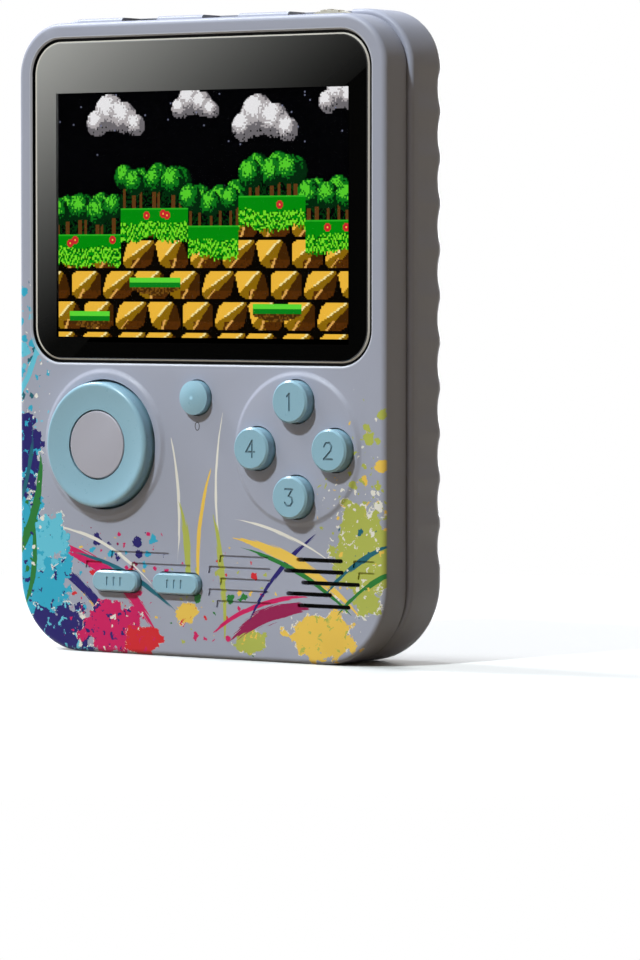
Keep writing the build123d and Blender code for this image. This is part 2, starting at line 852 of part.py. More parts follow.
def make_speaker_frame():
    back = speaker_front + speaker_depth
    inner = speaker_radius - speaker_wall
    cup = disc(speaker_x, speaker_z, speaker_radius, speaker_front, back)
    return cup - disc(speaker_x, speaker_z, inner, speaker_front - overrun, back - speaker_wall)


def make_speaker_cone():
    """A shallow paper cone with a small dust cap."""
    rim = speaker_radius - speaker_wall
    near = speaker_front + cone_thick
    middle = magnet_radius / 2
    profile = Polyline((rim, near), (middle, near + cone_rise), (0, near + cone_rise / 2),
                       (0, near + cone_rise / 2 + cone_thick), (middle, near + cone_rise + cone_thick),
                       (rim, near + cone_thick), (rim, near))
    return turned(speaker_x, speaker_z, make_face(profile))


def make_speaker_magnet():
    near = speaker_front + speaker_depth
    return disc(speaker_x, speaker_z, magnet_radius, near, near + magnet_depth)


def make_speaker_wires():
    """Two short leads from the rear rim of the speaker to the board."""
    near = speaker_front + speaker_depth
    z = speaker_z + (speaker_radius + magnet_radius) / 2
    wires = [disc(speaker_x + side * wire_pitch / 2, z, wire_radius, near, board_front) for side in (-1, 1)]
    return Compound(children=[wire.solid() for wire in wires])


# Battery

def battery_bottom():
    return bay_bottom_z + tab_room


def make_battery():
    middle = battery_bottom() + battery_height / 2
    cell = slab(Pos(0, middle) * Rectangle(battery_width, battery_height), bay_back - battery_thick, bay_back)
    return fillet(cell.edges().filter_by(Axis.Z), battery_corner)


def make_battery_contacts():
    """Three spring blades between the bay's top wall and the battery."""
    top = battery_bottom() + battery_height
    middle = bay_back - battery_thick / 2
    near = middle - contact_width
    seat = top + contact_room
    blades = []
    for turn in range(contact_count):
        left = contact_pitch * (turn - (contact_count - 1) / 2) - contact_width / 2
        right = left + contact_width
        foot = block(left, right, near, middle + contact_width, seat - contact_thick, seat)
        blade = block(left, right, near, near + contact_thick, top, seat)
        blades.append((foot + blade).solid())
    return Compound(children=blades)


def make_battery_door():
    """A flush door that swings on two tabs under its lower edge, with a ribbed latch tongue at the top."""
    width = door_recess_width - 2 * door_gap
    height = door_recess_height - 2 * door_gap
    middle = door_hinge_z + height / 2
    near = back_depth - door_thick
    door = slab(Pos(0, middle) * RectangleRounded(width, height, door_corner - door_gap), near, back_depth)
    top = door_hinge_z + height
    for side in (-1, 1):
        x = side * latch_width / 2
        door -= block(x - latch_slit / 2, x + latch_slit / 2, near - overrun, back_depth + overrun,
                      top - latch_length, top + overrun)
    for turn in range(rib_count):
        z = top - latch_length / 2 + rib_pitch * (turn - (rib_count - 1) / 2)
        door += slab(pill(0, z, latch_width - 2 * rib_pitch, rib_width), back_depth - rib_rise, back_depth)
        door -= slab(pill(0, z + rib_pitch / 2, latch_width - 2 * rib_pitch, rib_pitch - rib_width),
                     back_depth - rib_rise, back_depth + overrun)
    for side in (-1, 1):
        x = side * tab_x
        door += block(x - tab_width / 2, x + tab_width / 2, near - door_gap - tab_thick, near,
                      bay_bottom_z, bay_bottom_z + tab_root)
        door += block(x - tab_width / 2, x + tab_width / 2, near - door_gap - tab_thick - tab_drop,
                      near - door_gap - tab_drop, bay_bottom_z - tab_reach, bay_bottom_z + tab_root)
    return door


# Top openings

def make_power_switch_body():
    top = front_height - side_wall - board_margin
    return block(switch_x - switch_body_width / 2, switch_x + switch_body_width / 2, board_back,
                 board_back + switch_body_depth, top - switch_body_height, top)


def make_power_switch_knob():
    """The knob at the left end of its opening, with small grip ribs on top."""
    x = switch_x - knob_travel / 2
    top = rear_height - knob_sunk
    bottom = front_height - side_wall - board_margin + knob_stem_gap
    near = board_back + (switch_body_depth - knob_depth) / 2
    shoulder = front_height - side_wall
    knob = block(x - knob_width / 2, x + knob_width / 2, near, near + knob_depth, shoulder, top)
    for step in (-1, 0, 1):
        centre = x + step * knob_width / 4
        knob -= block(centre - knob_rib / 2, centre + knob_rib / 2, near - overrun,
                      near + knob_depth + overrun, top - knob_rib, top + overrun)
    half_stem = knob_stem_width / 2
    return knob + block(x - half_stem, x + half_stem, near, near + knob_depth, bottom, shoulder)


def make_usb_port_shell():
    top = rear_height - usb_sunk
    outer = block(usb_x - usb_width / 2, usb_x + usb_width / 2, board_back, board_back + usb_height,
                  top - usb_length, top)
    outer = fillet(outer.edges().filter_by(Axis.Z), usb_wall * 2)
    inner = block(usb_x - usb_width / 2 + usb_wall, usb_x + usb_width / 2 - usb_wall, board_back + usb_wall,
                  board_back + usb_height - usb_wall, top - usb_length + usb_wall, top + overrun)
    return outer - inner


def make_usb_tongue():
    top = rear_height - usb_sunk - usb_wall
    bottom = rear_height - usb_sunk - usb_length + usb_wall
    near = board_back + (usb_height - usb_tongue_thick) / 2
    half = usb_tongue_width / 2
    return block(usb_x - half, usb_x + half, near, near + usb_tongue_thick, bottom, top)


def make_volume_pot():
    body = disc(wheel_x, wheel_z, pot_radius, board_back, board_back + pot_thick)
    return body + disc(wheel_x, wheel_z, pot_axle_radius, board_back + pot_thick, wheel_front + wheel_thick)


def make_volume_wheel():
    wheel = disc(wheel_x, wheel_z, wheel_radius, wheel_front, wheel_front + wheel_thick)
    wheel -= disc(wheel_x, wheel_z, pot_axle_radius + wheel_bore_gap, wheel_front - overrun,
                  wheel_front + wheel_thick + overrun)
    notches = [
        disc(wheel_x + wheel_radius * math.cos(2 * math.pi * (turn + 1 / 2) / wheel_notches),
             wheel_z + wheel_radius * math.sin(2 * math.pi * (turn + 1 / 2) / wheel_notches),
             wheel_notch_radius, wheel_front - overrun, wheel_front + wheel_thick + overrun)
        for turn in range(wheel_notches)
    ]
    return wheel - notches


# Jacks

def make_jack(z, bore_radius):
    """A jack block on the board with a round nose that fills the hole in the side wall."""
    mouth = -rear_width / 2 + jack_pocket_depth
    inside = -inner_width / 2 + board_margin
    plane = Plane(origin=(mouth, front_y + jack_depth, z), z_dir=(1, 0, 0))
    body = block(inside, mouth + jack_length, board_back, board_back + jack_block,
                 z - jack_block / 2, z + jack_block / 2)
    body += plane * extrude(Circle(jack_nose_radius), amount=inside - mouth)
    return body - plane * extrude(Circle(bore_radius), amount=jack_bore_length)


parts = {
    "front_shell": make_front_shell,
    "rear_shell": make_rear_shell,
    "screen_lens": make_screen_lens,
    "lens_print": make_lens_print,
    "lens_tape": make_lens_tape,
    "display_frame": make_display_frame,
    "display_panel": make_display_panel,
    "display_backlight": make_display_backlight,
    "display_foam": make_display_foam,
    "display_flex": make_display_flex,
    "pad_disc": make_pad_disc,
    "pad_insert": make_pad_insert,
    "pad_pivot": make_pad_pivot,
    "pad_pivot_post": make_pad_pivot_post,
    "pad_membrane": make_pad_membrane,
    "face_button_membrane": make_face_button_membrane,
    "reset_button": make_reset_button,
    "reset_membrane": make_reset_membrane,
    "select_button": lambda: make_menu_button(select_x),
    "start_button": lambda: make_menu_button(start_x),
    "menu_membrane": make_menu_membrane,
    "main_board": make_main_board,
    "processor": make_processor,
    "memory_chip": make_memory_chip,
    "crystal": make_crystal,
    "board_capacitors": make_board_capacitors,
    "case_screws": make_case_screws,
    "board_screws": make_board_screws,
    "speaker_gasket": make_speaker_gasket,
    "speaker_cloth": make_speaker_cloth,
    "speaker_frame": make_speaker_frame,
    "speaker_cone": make_speaker_cone,
    "speaker_magnet": make_speaker_magnet,
    "speaker_wires": make_speaker_wires,
    "battery": make_battery,
    "battery_contacts": make_battery_contacts,
    "battery_door": make_battery_door,
    "power_switch_body": make_power_switch_body,
    "power_switch_knob": make_power_switch_knob,
    "usb_port_shell": make_usb_port_shell,
    "usb_tongue": make_usb_tongue,
    "volume_pot": make_volume_pot,
    "volume_wheel": make_volume_wheel,
    "av_jack": lambda: make_jack(av_z, av_bore_radius),
    "gamepad_jack": lambda: make_jack(pad_jack_z, pad_bore_radius),
}
for count in range(1, len(button_places) + 1):
    parts[f"face_button_{count}"] = lambda number=count: make_face_button(number)

os.makedirs("parts", exist_ok=True)
for name, make in parts.items():
    export_step(make(), f"parts/{name}.step")
print("nodes", len(parts))
print("front face y", front_y, "back y", front_y + back_depth)
print("door hinge", front_y + back_depth, door_hinge_z)
print("tilt centre", -pad_x, front_y + tilt_depth, control_z)
print("wheel axis", wheel_x, wheel_z, "top", wheel_z + wheel_radius)
print("jack mouth", -rear_width / 2 + jack_pocket_depth, front_y + jack_depth)
print("usb mouth", usb_x, front_y + board_back + usb_height / 2, rear_height - usb_sunk)
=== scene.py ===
"""Looks of a handheld game console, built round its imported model.

Lengths are in metres in the frame of the model, and in millimetres inside the finishes. +X is the
user's right, +Z is up and the screen faces -Y.
"""

import logging
import math
from dataclasses import dataclass, field, replace
from enum import Enum
from typing import Sequence

import bmesh
import bpy
import numpy as np
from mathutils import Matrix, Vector

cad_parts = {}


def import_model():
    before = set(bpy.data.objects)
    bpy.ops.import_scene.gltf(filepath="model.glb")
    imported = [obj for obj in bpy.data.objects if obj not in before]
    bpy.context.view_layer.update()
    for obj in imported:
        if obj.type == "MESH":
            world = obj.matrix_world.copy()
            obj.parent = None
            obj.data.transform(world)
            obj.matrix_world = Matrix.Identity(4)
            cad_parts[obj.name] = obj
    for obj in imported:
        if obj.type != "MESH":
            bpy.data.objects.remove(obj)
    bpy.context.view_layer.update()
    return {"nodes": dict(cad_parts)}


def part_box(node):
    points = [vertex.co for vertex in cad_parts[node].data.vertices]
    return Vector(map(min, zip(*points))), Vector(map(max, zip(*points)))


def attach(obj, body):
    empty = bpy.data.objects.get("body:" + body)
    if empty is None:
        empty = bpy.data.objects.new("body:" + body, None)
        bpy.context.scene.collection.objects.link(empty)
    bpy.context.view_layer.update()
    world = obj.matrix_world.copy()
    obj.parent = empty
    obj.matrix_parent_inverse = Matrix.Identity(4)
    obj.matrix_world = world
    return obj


MM = 0.001
FULL = 255.0
LOG = logging.getLogger("console")

Colour = tuple[float, float, float, float]
Point = tuple[float, float, float]
Pair = tuple[float, float]
Socket = bpy.types.NodeSocket
Feed = Socket | float | tuple

WHITE: Colour = (1.0, 1.0, 1.0, 1.0)


def srgb(red: int, green: int, blue: int) -> Colour:
    """A colour written as on a screen, turned into the linear values that a shader takes.

    Args:
        red, green, blue: The screen values, from 0 to 255.

    Returns:
        The linear colour with an alpha of 1.
    """
    shares = [value / FULL for value in (red, green, blue)]
    linear = [s / 12.92 if s <= 0.04045 else ((s + 0.055) / 1.055) ** 2.4 for s in shares]
    return (*linear, 1.0)


def shaded(colour: Colour, factor: float) -> Colour:
    """A colour made darker or lighter by a factor, and at most white."""
    return (*(min(1.0, channel * factor) for channel in colour[:3]), 1.0)


class Slot(Enum):
    """Names of material slots, which the rows of added pieces are handed but do not use."""

    DISPLAY = "display"
    CAN = "can"
    CONTACT = "contact"
    MASK = "mask"


class Body(Enum):
    """The moving bodies that added pieces ride on."""

    CONSOLE = "console"


class Ink(Enum):
    """The inks of the print on the lower half of the front."""

    CYAN = srgb(46, 164, 196)
    SKY = srgb(98, 190, 214)
    NAVY = srgb(24, 12, 96)
    TEAL = srgb(18, 92, 108)
    GREEN = srgb(30, 112, 44)
    MAGENTA = srgb(200, 20, 92)
    RED = srgb(206, 34, 44)
    YELLOW = srgb(232, 192, 84)
    LIME = srgb(172, 178, 82)
    CREAM = srgb(226, 222, 214)
    CRIMSON = srgb(142, 14, 74)


class Paint(Enum):
    """The colours of the lit picture."""

    STAR = srgb(120, 124, 150)
    CLOUD_SHADE = srgb(112, 108, 112)
    CLOUD = srgb(182, 176, 178)
    CLOUD_LIGHT = srgb(240, 238, 240)
    BUSH = srgb(4, 52, 14)
    LEAF_SHADE = srgb(3, 40, 12)
    LEAF = srgb(16, 116, 26)
    LEAF_LIGHT = srgb(88, 208, 44)
    TRUNK = srgb(96, 58, 22)
    TURF = srgb(4, 140, 12)
    TURF_SHADE = srgb(2, 84, 10)
    TURF_LIGHT = srgb(40, 176, 34)
    BLADE = srgb(122, 226, 40)
    JOINT = srgb(8, 5, 2)
    STONE_SHADE = srgb(66, 36, 6)
    STONE = srgb(142, 104, 12)
    STONE_LIGHT = srgb(244, 188, 62)
    STONE_EDGE = srgb(252, 232, 160)
    STONE_FOOT = srgb(84, 44, 8)
    STONE_VEIN = srgb(226, 168, 84)
    SOIL = srgb(70, 42, 10)
    SOIL_LIGHT = srgb(120, 78, 22)
    MOSS = srgb(12, 132, 28)
    MOSS_LIGHT = srgb(96, 222, 56)
    PETAL = srgb(206, 38, 44)
    HEART = srgb(248, 214, 80)


@dataclass(frozen=True)
class Panel:
    """A flat panel seen from the front: its middle, half its size and its corner radius, in mm."""

    middle: Pair
    half: Pair
    corner: float = 0.0

    @property
    def left(self) -> float:
        """Its left edge."""
        return self.middle[0] - self.half[0]

    @property
    def right(self) -> float:
        """Its right edge."""
        return self.middle[0] + self.half[0]

    @property
    def bottom(self) -> float:
        """Its lower edge."""
        return self.middle[1] - self.half[1]

    @property
    def top(self) -> float:
        """Its upper edge."""
        return self.middle[1] + self.half[1]

    def shifted(self, across: float) -> "Panel":
        """The same panel, moved to the right."""
        return replace(self, middle=(self.middle[0] + across, self.middle[1]))


WINDOW_PANEL = Panel((0.0, 80.35), (36.5, 28.3), 5.9)
PICTURE_PANEL = Panel((0.0, 77.8), (31.45, 21.65))


class Graph:
    """Adds nodes to one tree and links them, so that a finish reads as a list of steps."""

    def __init__(self, tree: bpy.types.NodeTree) -> None:
        """Keeps the tree that the nodes go into."""
        self.tree = tree

    def feed(self, socket: Socket, value: Feed) -> None:
        """Links a socket to a value that is a socket, or sets it to a plain one.

        Args:
            socket: The input.
            value: What goes into it.
        """
        if isinstance(value, Socket):
            self.tree.links.new(value, socket)
        else:
            socket.default_value = value

    def add(self, kind: str, inputs: dict | None = None, **settings: object) -> bpy.types.Node:
        """Adds one node.

        Args:
            kind: Blender's name of the node's type.
            inputs: Values or sockets by the name or number of the node's input.
            settings: The node's own options.

        Returns:
            The new node.
        """
        node = self.tree.nodes.new(kind)
        for name, value in settings.items():
            setattr(node, name, value)
        for name, value in (inputs or {}).items():
            self.feed(node.inputs[name], value)
        return node

    def math(self, operation: str, *values: Feed, clamp: bool = False) -> Socket:
        """One arithmetic step on up to three values."""
        inputs = dict(enumerate(values))
        return self.add("ShaderNodeMath", inputs, operation=operation, use_clamp=clamp).outputs[0]

    def vector(self, operation: str, *values: Feed) -> Socket:
        """One vector step, whose result is a vector or, for a length, a number."""
        node = self.add("ShaderNodeVectorMath", dict(enumerate(values)), operation=operation)
        return node.outputs["Value" if operation == "LENGTH" else "Vector"]

    def scaled(self, vector: Feed, factor: Feed) -> Socket:
        """A vector times a number."""
        node = self.add("ShaderNodeVectorMath", {0: vector, "Scale": factor}, operation="SCALE")
        return node.outputs["Vector"]

    def parts(self, vector: Feed) -> bpy.types.bpy_prop_collection:
        """The parts of a vector, by the names X, Y and Z."""
        return self.add("ShaderNodeSeparateXYZ", {0: vector}).outputs

    def pair(self, across: Feed, up: Feed) -> Socket:
        """A flat vector of two numbers and zero."""
        return self.add("ShaderNodeCombineXYZ", {"X": across, "Y": up}).outputs[0]

    def coordinates(self, kind: str) -> Socket:
        """The coordinates of one kind, such as Object or Normal."""
        return self.add("ShaderNodeTexCoord").outputs[kind]

    def object_mm(self) -> Socket:
        """The object coordinates, in millimetres."""
        return self.scaled(self.coordinates("Object"), 1 / MM)

    def noise(self, vector: Feed, scale: float, detail: float, roughness: float,
              colour: bool = False) -> Socket:
        """Noise as a number or a colour.

        Args:
            vector: Where it is read, in millimetres.
            scale: How many cells go on a millimetre.
            detail: How many finer layers it has.
            roughness: How strong the finer layers are.
            colour: Whether the result is a colour.

        Returns:
            The noise.
        """
        node = self.add("ShaderNodeTexNoise", {
            "Vector": vector, "Scale": scale, "Detail": detail, "Roughness": roughness})
        return node.outputs["Color" if colour else "Fac"]

    def smooth(self, value: Feed, low: Feed, high: Feed) -> Socket:
        """A soft step from 0 at the low value to 1 at the high one."""
        inputs = {"Value": value, "From Min": low, "From Max": high}
        node = self.add("ShaderNodeMapRange", inputs, interpolation_type="SMOOTHSTEP")
        return node.outputs["Result"]

    def blend(self, share: Feed, first: Feed, second: Feed) -> Socket:
        """The first colour where the share is 0, and the second where it is 1."""
        inputs = {0: share, 6: first, 7: second}
        return self.add("ShaderNodeMix", inputs, data_type="RGBA").outputs[2]

    def flat_mm(self, point: Feed) -> Socket:
        """The place on the front, as a vector of across, up and zero."""
        parts = self.parts(point)
        return self.pair(parts["X"], parts["Z"])

    def offset(self, flat: Feed, middle: Pair) -> Socket:
        """The way from one place on the front to a point."""
        return self.vector("SUBTRACT", flat, (*middle, 0.0))

    def oval(self, offset: Feed, reach: Pair) -> Socket:
        """The distance as a share of an oval's reach, which is 1 on its edge."""
        return self.vector("LENGTH", self.vector("DIVIDE", offset, (*reach, 1.0)))

    def panel_distance(self, point: Feed, panel: Panel) -> Socket:
        """How far a point lies outside a panel with round corners, seen from the front.

        Args:
            point: The point, in millimetres.
            panel: The panel.

        Returns:
            The distance, which is less than zero inside.
        """
        away = self.vector("ABSOLUTE", self.offset(self.flat_mm(point), panel.middle))
        past = self.offset(away, (panel.half[0] - panel.corner, panel.half[1] - panel.corner))
        outer = self.vector("LENGTH", self.vector("MAXIMUM", past, (0.0, 0.0, 0.0)))
        parts = self.parts(past)
        inner = self.math("MINIMUM", self.math("MAXIMUM", parts["X"], parts["Y"]), 0.0)
        return self.math("SUBTRACT", self.math("ADD", outer, inner), panel.corner)

    def bump(self, height: Feed, depth: float) -> Socket:
        """A bump of a depth in metres."""
        node = self.add("ShaderNodeBump", {"Height": height, "Distance": depth, "Strength": 1.0})
        return node.outputs["Normal"]


def new_material(name: str) -> tuple[bpy.types.Material, Graph]:
    """A new material with an empty tree.

    Args:
        name: Its name.

    Returns:
        The material and the graph that fills its tree.
    """
    made = bpy.data.materials.new(name)
    made.use_nodes = True
    made.node_tree.nodes.clear()
    return made, Graph(made.node_tree)


@dataclass(frozen=True)
class Finish:
    """A surface: its colour, how it varies, its grain and its gloss.

    The mottle is how far the colour drifts, and the grain is a bump of so many cells a millimetre.
    """

    name: str
    colour: Colour
    roughness: float = 0.5
    metallic: float = 0.0
    mottle: float = 0.05
    mottle_scale: float = 0.12
    roughness_drift: float = 0.08
    grain_scale: float = 5.0
    grain_depth: float = 0.004 * MM
    coat: float = 0.0
    coat_roughness: float = 0.1
    specular: float = 0.5

    def colour_socket(self, graph: Graph, point: Socket) -> Socket:
        """The colour with its slow drift from place to place.

        Args:
            graph: The material's graph.
            point: The point, in millimetres.

        Returns:
            The colour.
        """
        drift = graph.noise(point, self.mottle_scale, detail=4.0, roughness=0.6)
        return graph.blend(drift, shaded(self.colour, 1 - self.mottle),
                           shaded(self.colour, 1 + self.mottle))

    def normal_socket(self, graph: Graph, point: Socket) -> Socket:
        """The fine grain of the surface."""
        grain = graph.noise(point, self.grain_scale, detail=3.0, roughness=0.6)
        return graph.bump(grain, self.grain_depth)

    def shader(self, graph: Graph, point: Socket) -> bpy.types.Node:
        """The surface shader with everything linked to it.

        Args:
            graph: The material's graph.
            point: The point, in millimetres.

        Returns:
            The shader node.
        """
        drift = graph.noise(point, self.grain_scale / 4, detail=3.0, roughness=0.7)
        roughness = graph.math("MULTIPLY_ADD", drift, 2 * self.roughness_drift,
                               self.roughness - self.roughness_drift)
        return graph.add("ShaderNodeBsdfPrincipled", {
            "Base Color": self.colour_socket(graph, point), "Roughness": roughness,
            "Normal": self.normal_socket(graph, point), "Metallic": self.metallic,
            "Coat Weight": self.coat, "Coat Roughness": self.coat_roughness,
            "Specular IOR Level": self.specular})

    def material(self) -> bpy.types.Material:
        """Makes the material, or gives the one made before.

        Returns:
            The material of this finish.
        """
        made = bpy.data.materials.get(self.name)
        if made is None:
            made, graph = new_material(self.name)
            shader = self.shader(graph, graph.object_mm())
            graph.add("ShaderNodeOutputMaterial", {"Surface": shader.outputs[0]})
        return made


def variant(kind: type[Finish], name: str, base: Finish, **extra: object) -> Finish:
    """A finish of another kind that looks like a plain one apart from what the kind adds.

    Args:
        kind: The kind of finish.
        name: The new finish's name.
        base: The finish that it looks like.
        extra: Fields that the base does not have.

    Returns:
        The new finish.
    """
    return kind(**{**vars(base), "name": name, **extra})


@dataclass(frozen=True)
class EngravedFinish(Finish):
    """Moulded plastic with painted shade on the floor of its engraved strokes."""

    # Where the painted shade in the strokes starts, how dark it is, and how squarely a face must
    # look forward to get it.
    floor_y: float = -9.9
    groove_painted_shade: float = 0.5
    forward: float = -0.9

    def colour_socket(self, graph: Graph, point: Socket) -> Socket:
        """The plastic's colour, with painted shade where it faces forward below the key's top.

        Args:
            graph: The material's graph.
            point: The point, in millimetres.

        Returns:
            The colour.
        """
        plain = super().colour_socket(graph, point)
        # Painted shade: the forward-facing floor of each stroke, below the key's top, is darkened.
        normal = graph.parts(graph.coordinates("Normal"))
        facing = graph.math("LESS_THAN", normal["Y"], self.forward)
        deep = graph.math("GREATER_THAN", graph.parts(point)["Y"], self.floor_y)
        painted_groove_shade_mask = graph.math("MULTIPLY", facing, deep)
        return graph.blend(painted_groove_shade_mask, plain, shaded(self.colour, self.groove_painted_shade))


@dataclass(frozen=True)
class Ground:
    """What the marks of a print share: the place on the front, plain and shaken, and two noises."""

    flat: Socket
    shaken: Socket
    edge: Socket
    fleck: Socket


@dataclass(frozen=True)
class Puddle:
    """One ragged pool of ink: where it lies and how large it is, in millimetres across and up."""

    ink: Ink
    middle: Pair
    reach: Pair
    ragged: float = 1.5
    fleck: Ink = Ink.CREAM
    fleck_level: float = 0.6
    rim: float = 0.06
    rim_level: float = 0.53
    blur: float = 0.02

    def lay(self, graph: Graph, ground: Ground, under: Socket) -> Socket:
        """Lays the pool, its flecks and its pale rim over the colours below.

        Args:
            graph: The material's graph.
            ground: What the marks share.
            under: The colours below.

        Returns:
            The new colours.
        """
        distance = graph.oval(graph.offset(ground.shaken, self.middle), self.reach)
        torn = graph.math("MULTIPLY_ADD", ground.edge, self.ragged, -self.ragged / 2)
        level = graph.math("ADD", distance, torn)
        rim = graph.smooth(level, 1.0 + self.rim, 1.0 + self.rim - self.blur)
        flecks = graph.smooth(ground.fleck, self.rim_level, self.rim_level + self.blur)
        rimmed = graph.blend(graph.math("MULTIPLY", rim, flecks), under, Ink.CREAM.value)
        inner = graph.smooth(ground.fleck, self.fleck_level, self.fleck_level + self.blur)
        filled = graph.blend(inner, self.ink.value, self.fleck.value)
        return graph.blend(graph.smooth(level, 1.0, 1.0 - self.blur), rimmed, filled)


@dataclass(frozen=True)
class Ribbon:
    """One brush stroke along an arc, which thins towards both ends, in millimetres and degrees."""

    ink: Ink
    middle: Pair
    radius: float
    width: float
    start: float
    sweep: float
    thread: float = 1.6
    lanes: Pair = (2.6, 4.0)
    tip: float = 0.1
    blur: float = 0.06

    def lay(self, graph: Graph, ground: Ground, under: Socket) -> Socket:
        """Lays the stroke with its bristle marks over the colours below.

        Args:
            graph: The material's graph.
            ground: What the marks share.
            under: The colours below.

        Returns:
            The new colours.
        """
        offset = graph.offset(ground.flat, self.middle)
        turned = graph.add("ShaderNodeVectorRotate", {
            "Vector": offset, "Angle": -math.radians(self.start)}, rotation_type="Z_AXIS")
        parts = graph.parts(turned.outputs[0])
        angle = graph.math("ARCTAN2", parts["Y"], parts["X"])
        share = graph.math("DIVIDE", angle, math.radians(self.sweep), clamp=True)
        both = graph.math("MULTIPLY", share, graph.math("SUBTRACT", 1.0, share))
        taper = graph.math("MULTIPLY", both, 4.0)
        length = graph.vector("LENGTH", offset)
        lane = graph.pair(graph.math("MULTIPLY", length, self.lanes[0]),
                          graph.math("MULTIPLY", angle, self.lanes[1]))
        bristle = graph.math("SUBTRACT", graph.noise(lane, 1.0, detail=3.0, roughness=0.6), 0.5)
        half = graph.math("MULTIPLY", taper, self.width / 2)
        rough = graph.math("MULTIPLY_ADD", bristle, self.width / 2 * self.thread, half)
        ended = graph.math("MULTIPLY", rough, graph.smooth(taper, 0.0, self.tip))
        off = graph.math("ABSOLUTE", graph.math("SUBTRACT", length, self.radius))
        inside = graph.math("SUBTRACT", ended, off)
        return graph.blend(graph.smooth(inside, 0.0, self.blur), under, self.ink.value)


@dataclass(frozen=True)
class Drops:
    """Round drops of several inks, scattered about one place, in millimetres."""

    inks: tuple[Ink, ...]
    middle: Pair
    reach: Pair
    spacing: float
    largest: float
    crowd: float = 1.6
    thinning: Pair = (1.05, 0.35)
    blur: float = 0.03

    def lay(self, graph: Graph, ground: Ground, under: Socket) -> Socket:
        """Lays the drops over the colours below.

        Args:
            graph: The material's graph.
            ground: What the marks share.
            under: The colours below.

        Returns:
            The new colours.
        """
        offset = graph.offset(ground.shaken, self.middle)
        density = graph.smooth(graph.oval(offset, self.reach), *self.thinning)
        cells = graph.add("ShaderNodeTexVoronoi", {
            "Vector": offset, "Scale": 1 / self.spacing, "Randomness": 1.0},
            voronoi_dimensions="2D")
        draws = graph.add("ShaderNodeSeparateColor", {0: cells.outputs["Color"]}).outputs
        size = graph.math("MULTIPLY", graph.math("POWER", draws[0], self.crowd), density)
        radius = graph.math("MULTIPLY", size, self.largest / 2 / self.spacing)
        inside = graph.math("SUBTRACT", radius, cells.outputs["Distance"])
        palette = graph.add("ShaderNodeValToRGB", {0: draws[1]})
        palette.color_ramp.interpolation = "CONSTANT"
        stops = palette.color_ramp.elements
        for count, ink in enumerate(self.inks):
            place = count / len(self.inks)
            stop = stops[count] if count < len(stops) else stops.new(place)
            stop.position = place
            stop.color = ink.value
        return graph.blend(graph.smooth(inside, 0.0, self.blur), under, palette.outputs[0])


@dataclass(frozen=True)
class PrintedFinish(Finish):
    """The case plastic, black in the joint round the window, with a print on the lower front."""

    face_y: float = -7.25
    fade: float = 0.9
    marks: tuple[Puddle | Ribbon | Drops, ...] = ()
    window: Panel = WINDOW_PANEL
    joint: float = 0.52
    joint_blur: float = 0.02
    joint_colour: Colour = srgb(4, 4, 5)
    # Painted highlight: a pale band on the front just outside the window's joint, standing in for
    # light on the recess's rim.
    rim: float = 0.95
    rim_blur: float = 0.1
    rim_highlight_share: float = 0.5
    rim_highlight_colour: Colour = srgb(204, 207, 218)
    fine_scale: float = 0.55
    edge_scale: float = 0.26
    wobble: float = 2.4

    def printed(self, graph: Graph, flat: Socket, under: Socket) -> Socket:
        """Lays every mark of the print over the plastic, in order.

        Args:
            graph: The material's graph.
            flat: The place on the front.
            under: The plastic's colour.

        Returns:
            The colours of the print.
        """
        drift = graph.noise(flat, self.fine_scale, detail=4.0, roughness=0.62, colour=True)
        wobble = graph.scaled(graph.vector("SUBTRACT", drift, (0.5, 0.5, 0.5)), self.wobble)
        shaken = graph.vector("ADD", flat, wobble)
        edge = graph.noise(flat, self.edge_scale, detail=5.0, roughness=0.62)
        fleck = graph.noise(shaken, self.fine_scale, detail=3.0, roughness=0.6)
        ground = Ground(flat, shaken, edge, fleck)
        for mark in self.marks:
            under = mark.lay(graph, ground, under)
        return under

    def colour_socket(self, graph: Graph, point: Socket) -> Socket:
        """The plastic's colour, printed on the front face, with a painted highlight round the
        joint.

        Args:
            graph: The material's graph.
            point: The point, in millimetres.

        Returns:
            The colour.
        """
        plain = super().colour_socket(graph, point)
        inked = self.printed(graph, graph.flat_mm(point), plain)
        facing = graph.smooth(graph.parts(point)["Y"], self.face_y + self.fade,
                              self.face_y + self.fade / 2)
        outside = graph.panel_distance(point, self.window)
        # Painted highlight: the pale band just outside the joint, on the front face only.
        near = graph.smooth(outside, self.rim + self.rim_blur, self.rim - self.rim_blur)
        painted_rim_highlight = graph.math("MULTIPLY", graph.math("MULTIPLY", near, facing), self.rim_highlight_share)
        rimmed = graph.blend(painted_rim_highlight, graph.blend(facing, plain, inked), self.rim_highlight_colour)
        shut = graph.smooth(outside, self.joint + self.joint_blur, self.joint)
        return graph.blend(shut, rimmed, self.joint_colour)


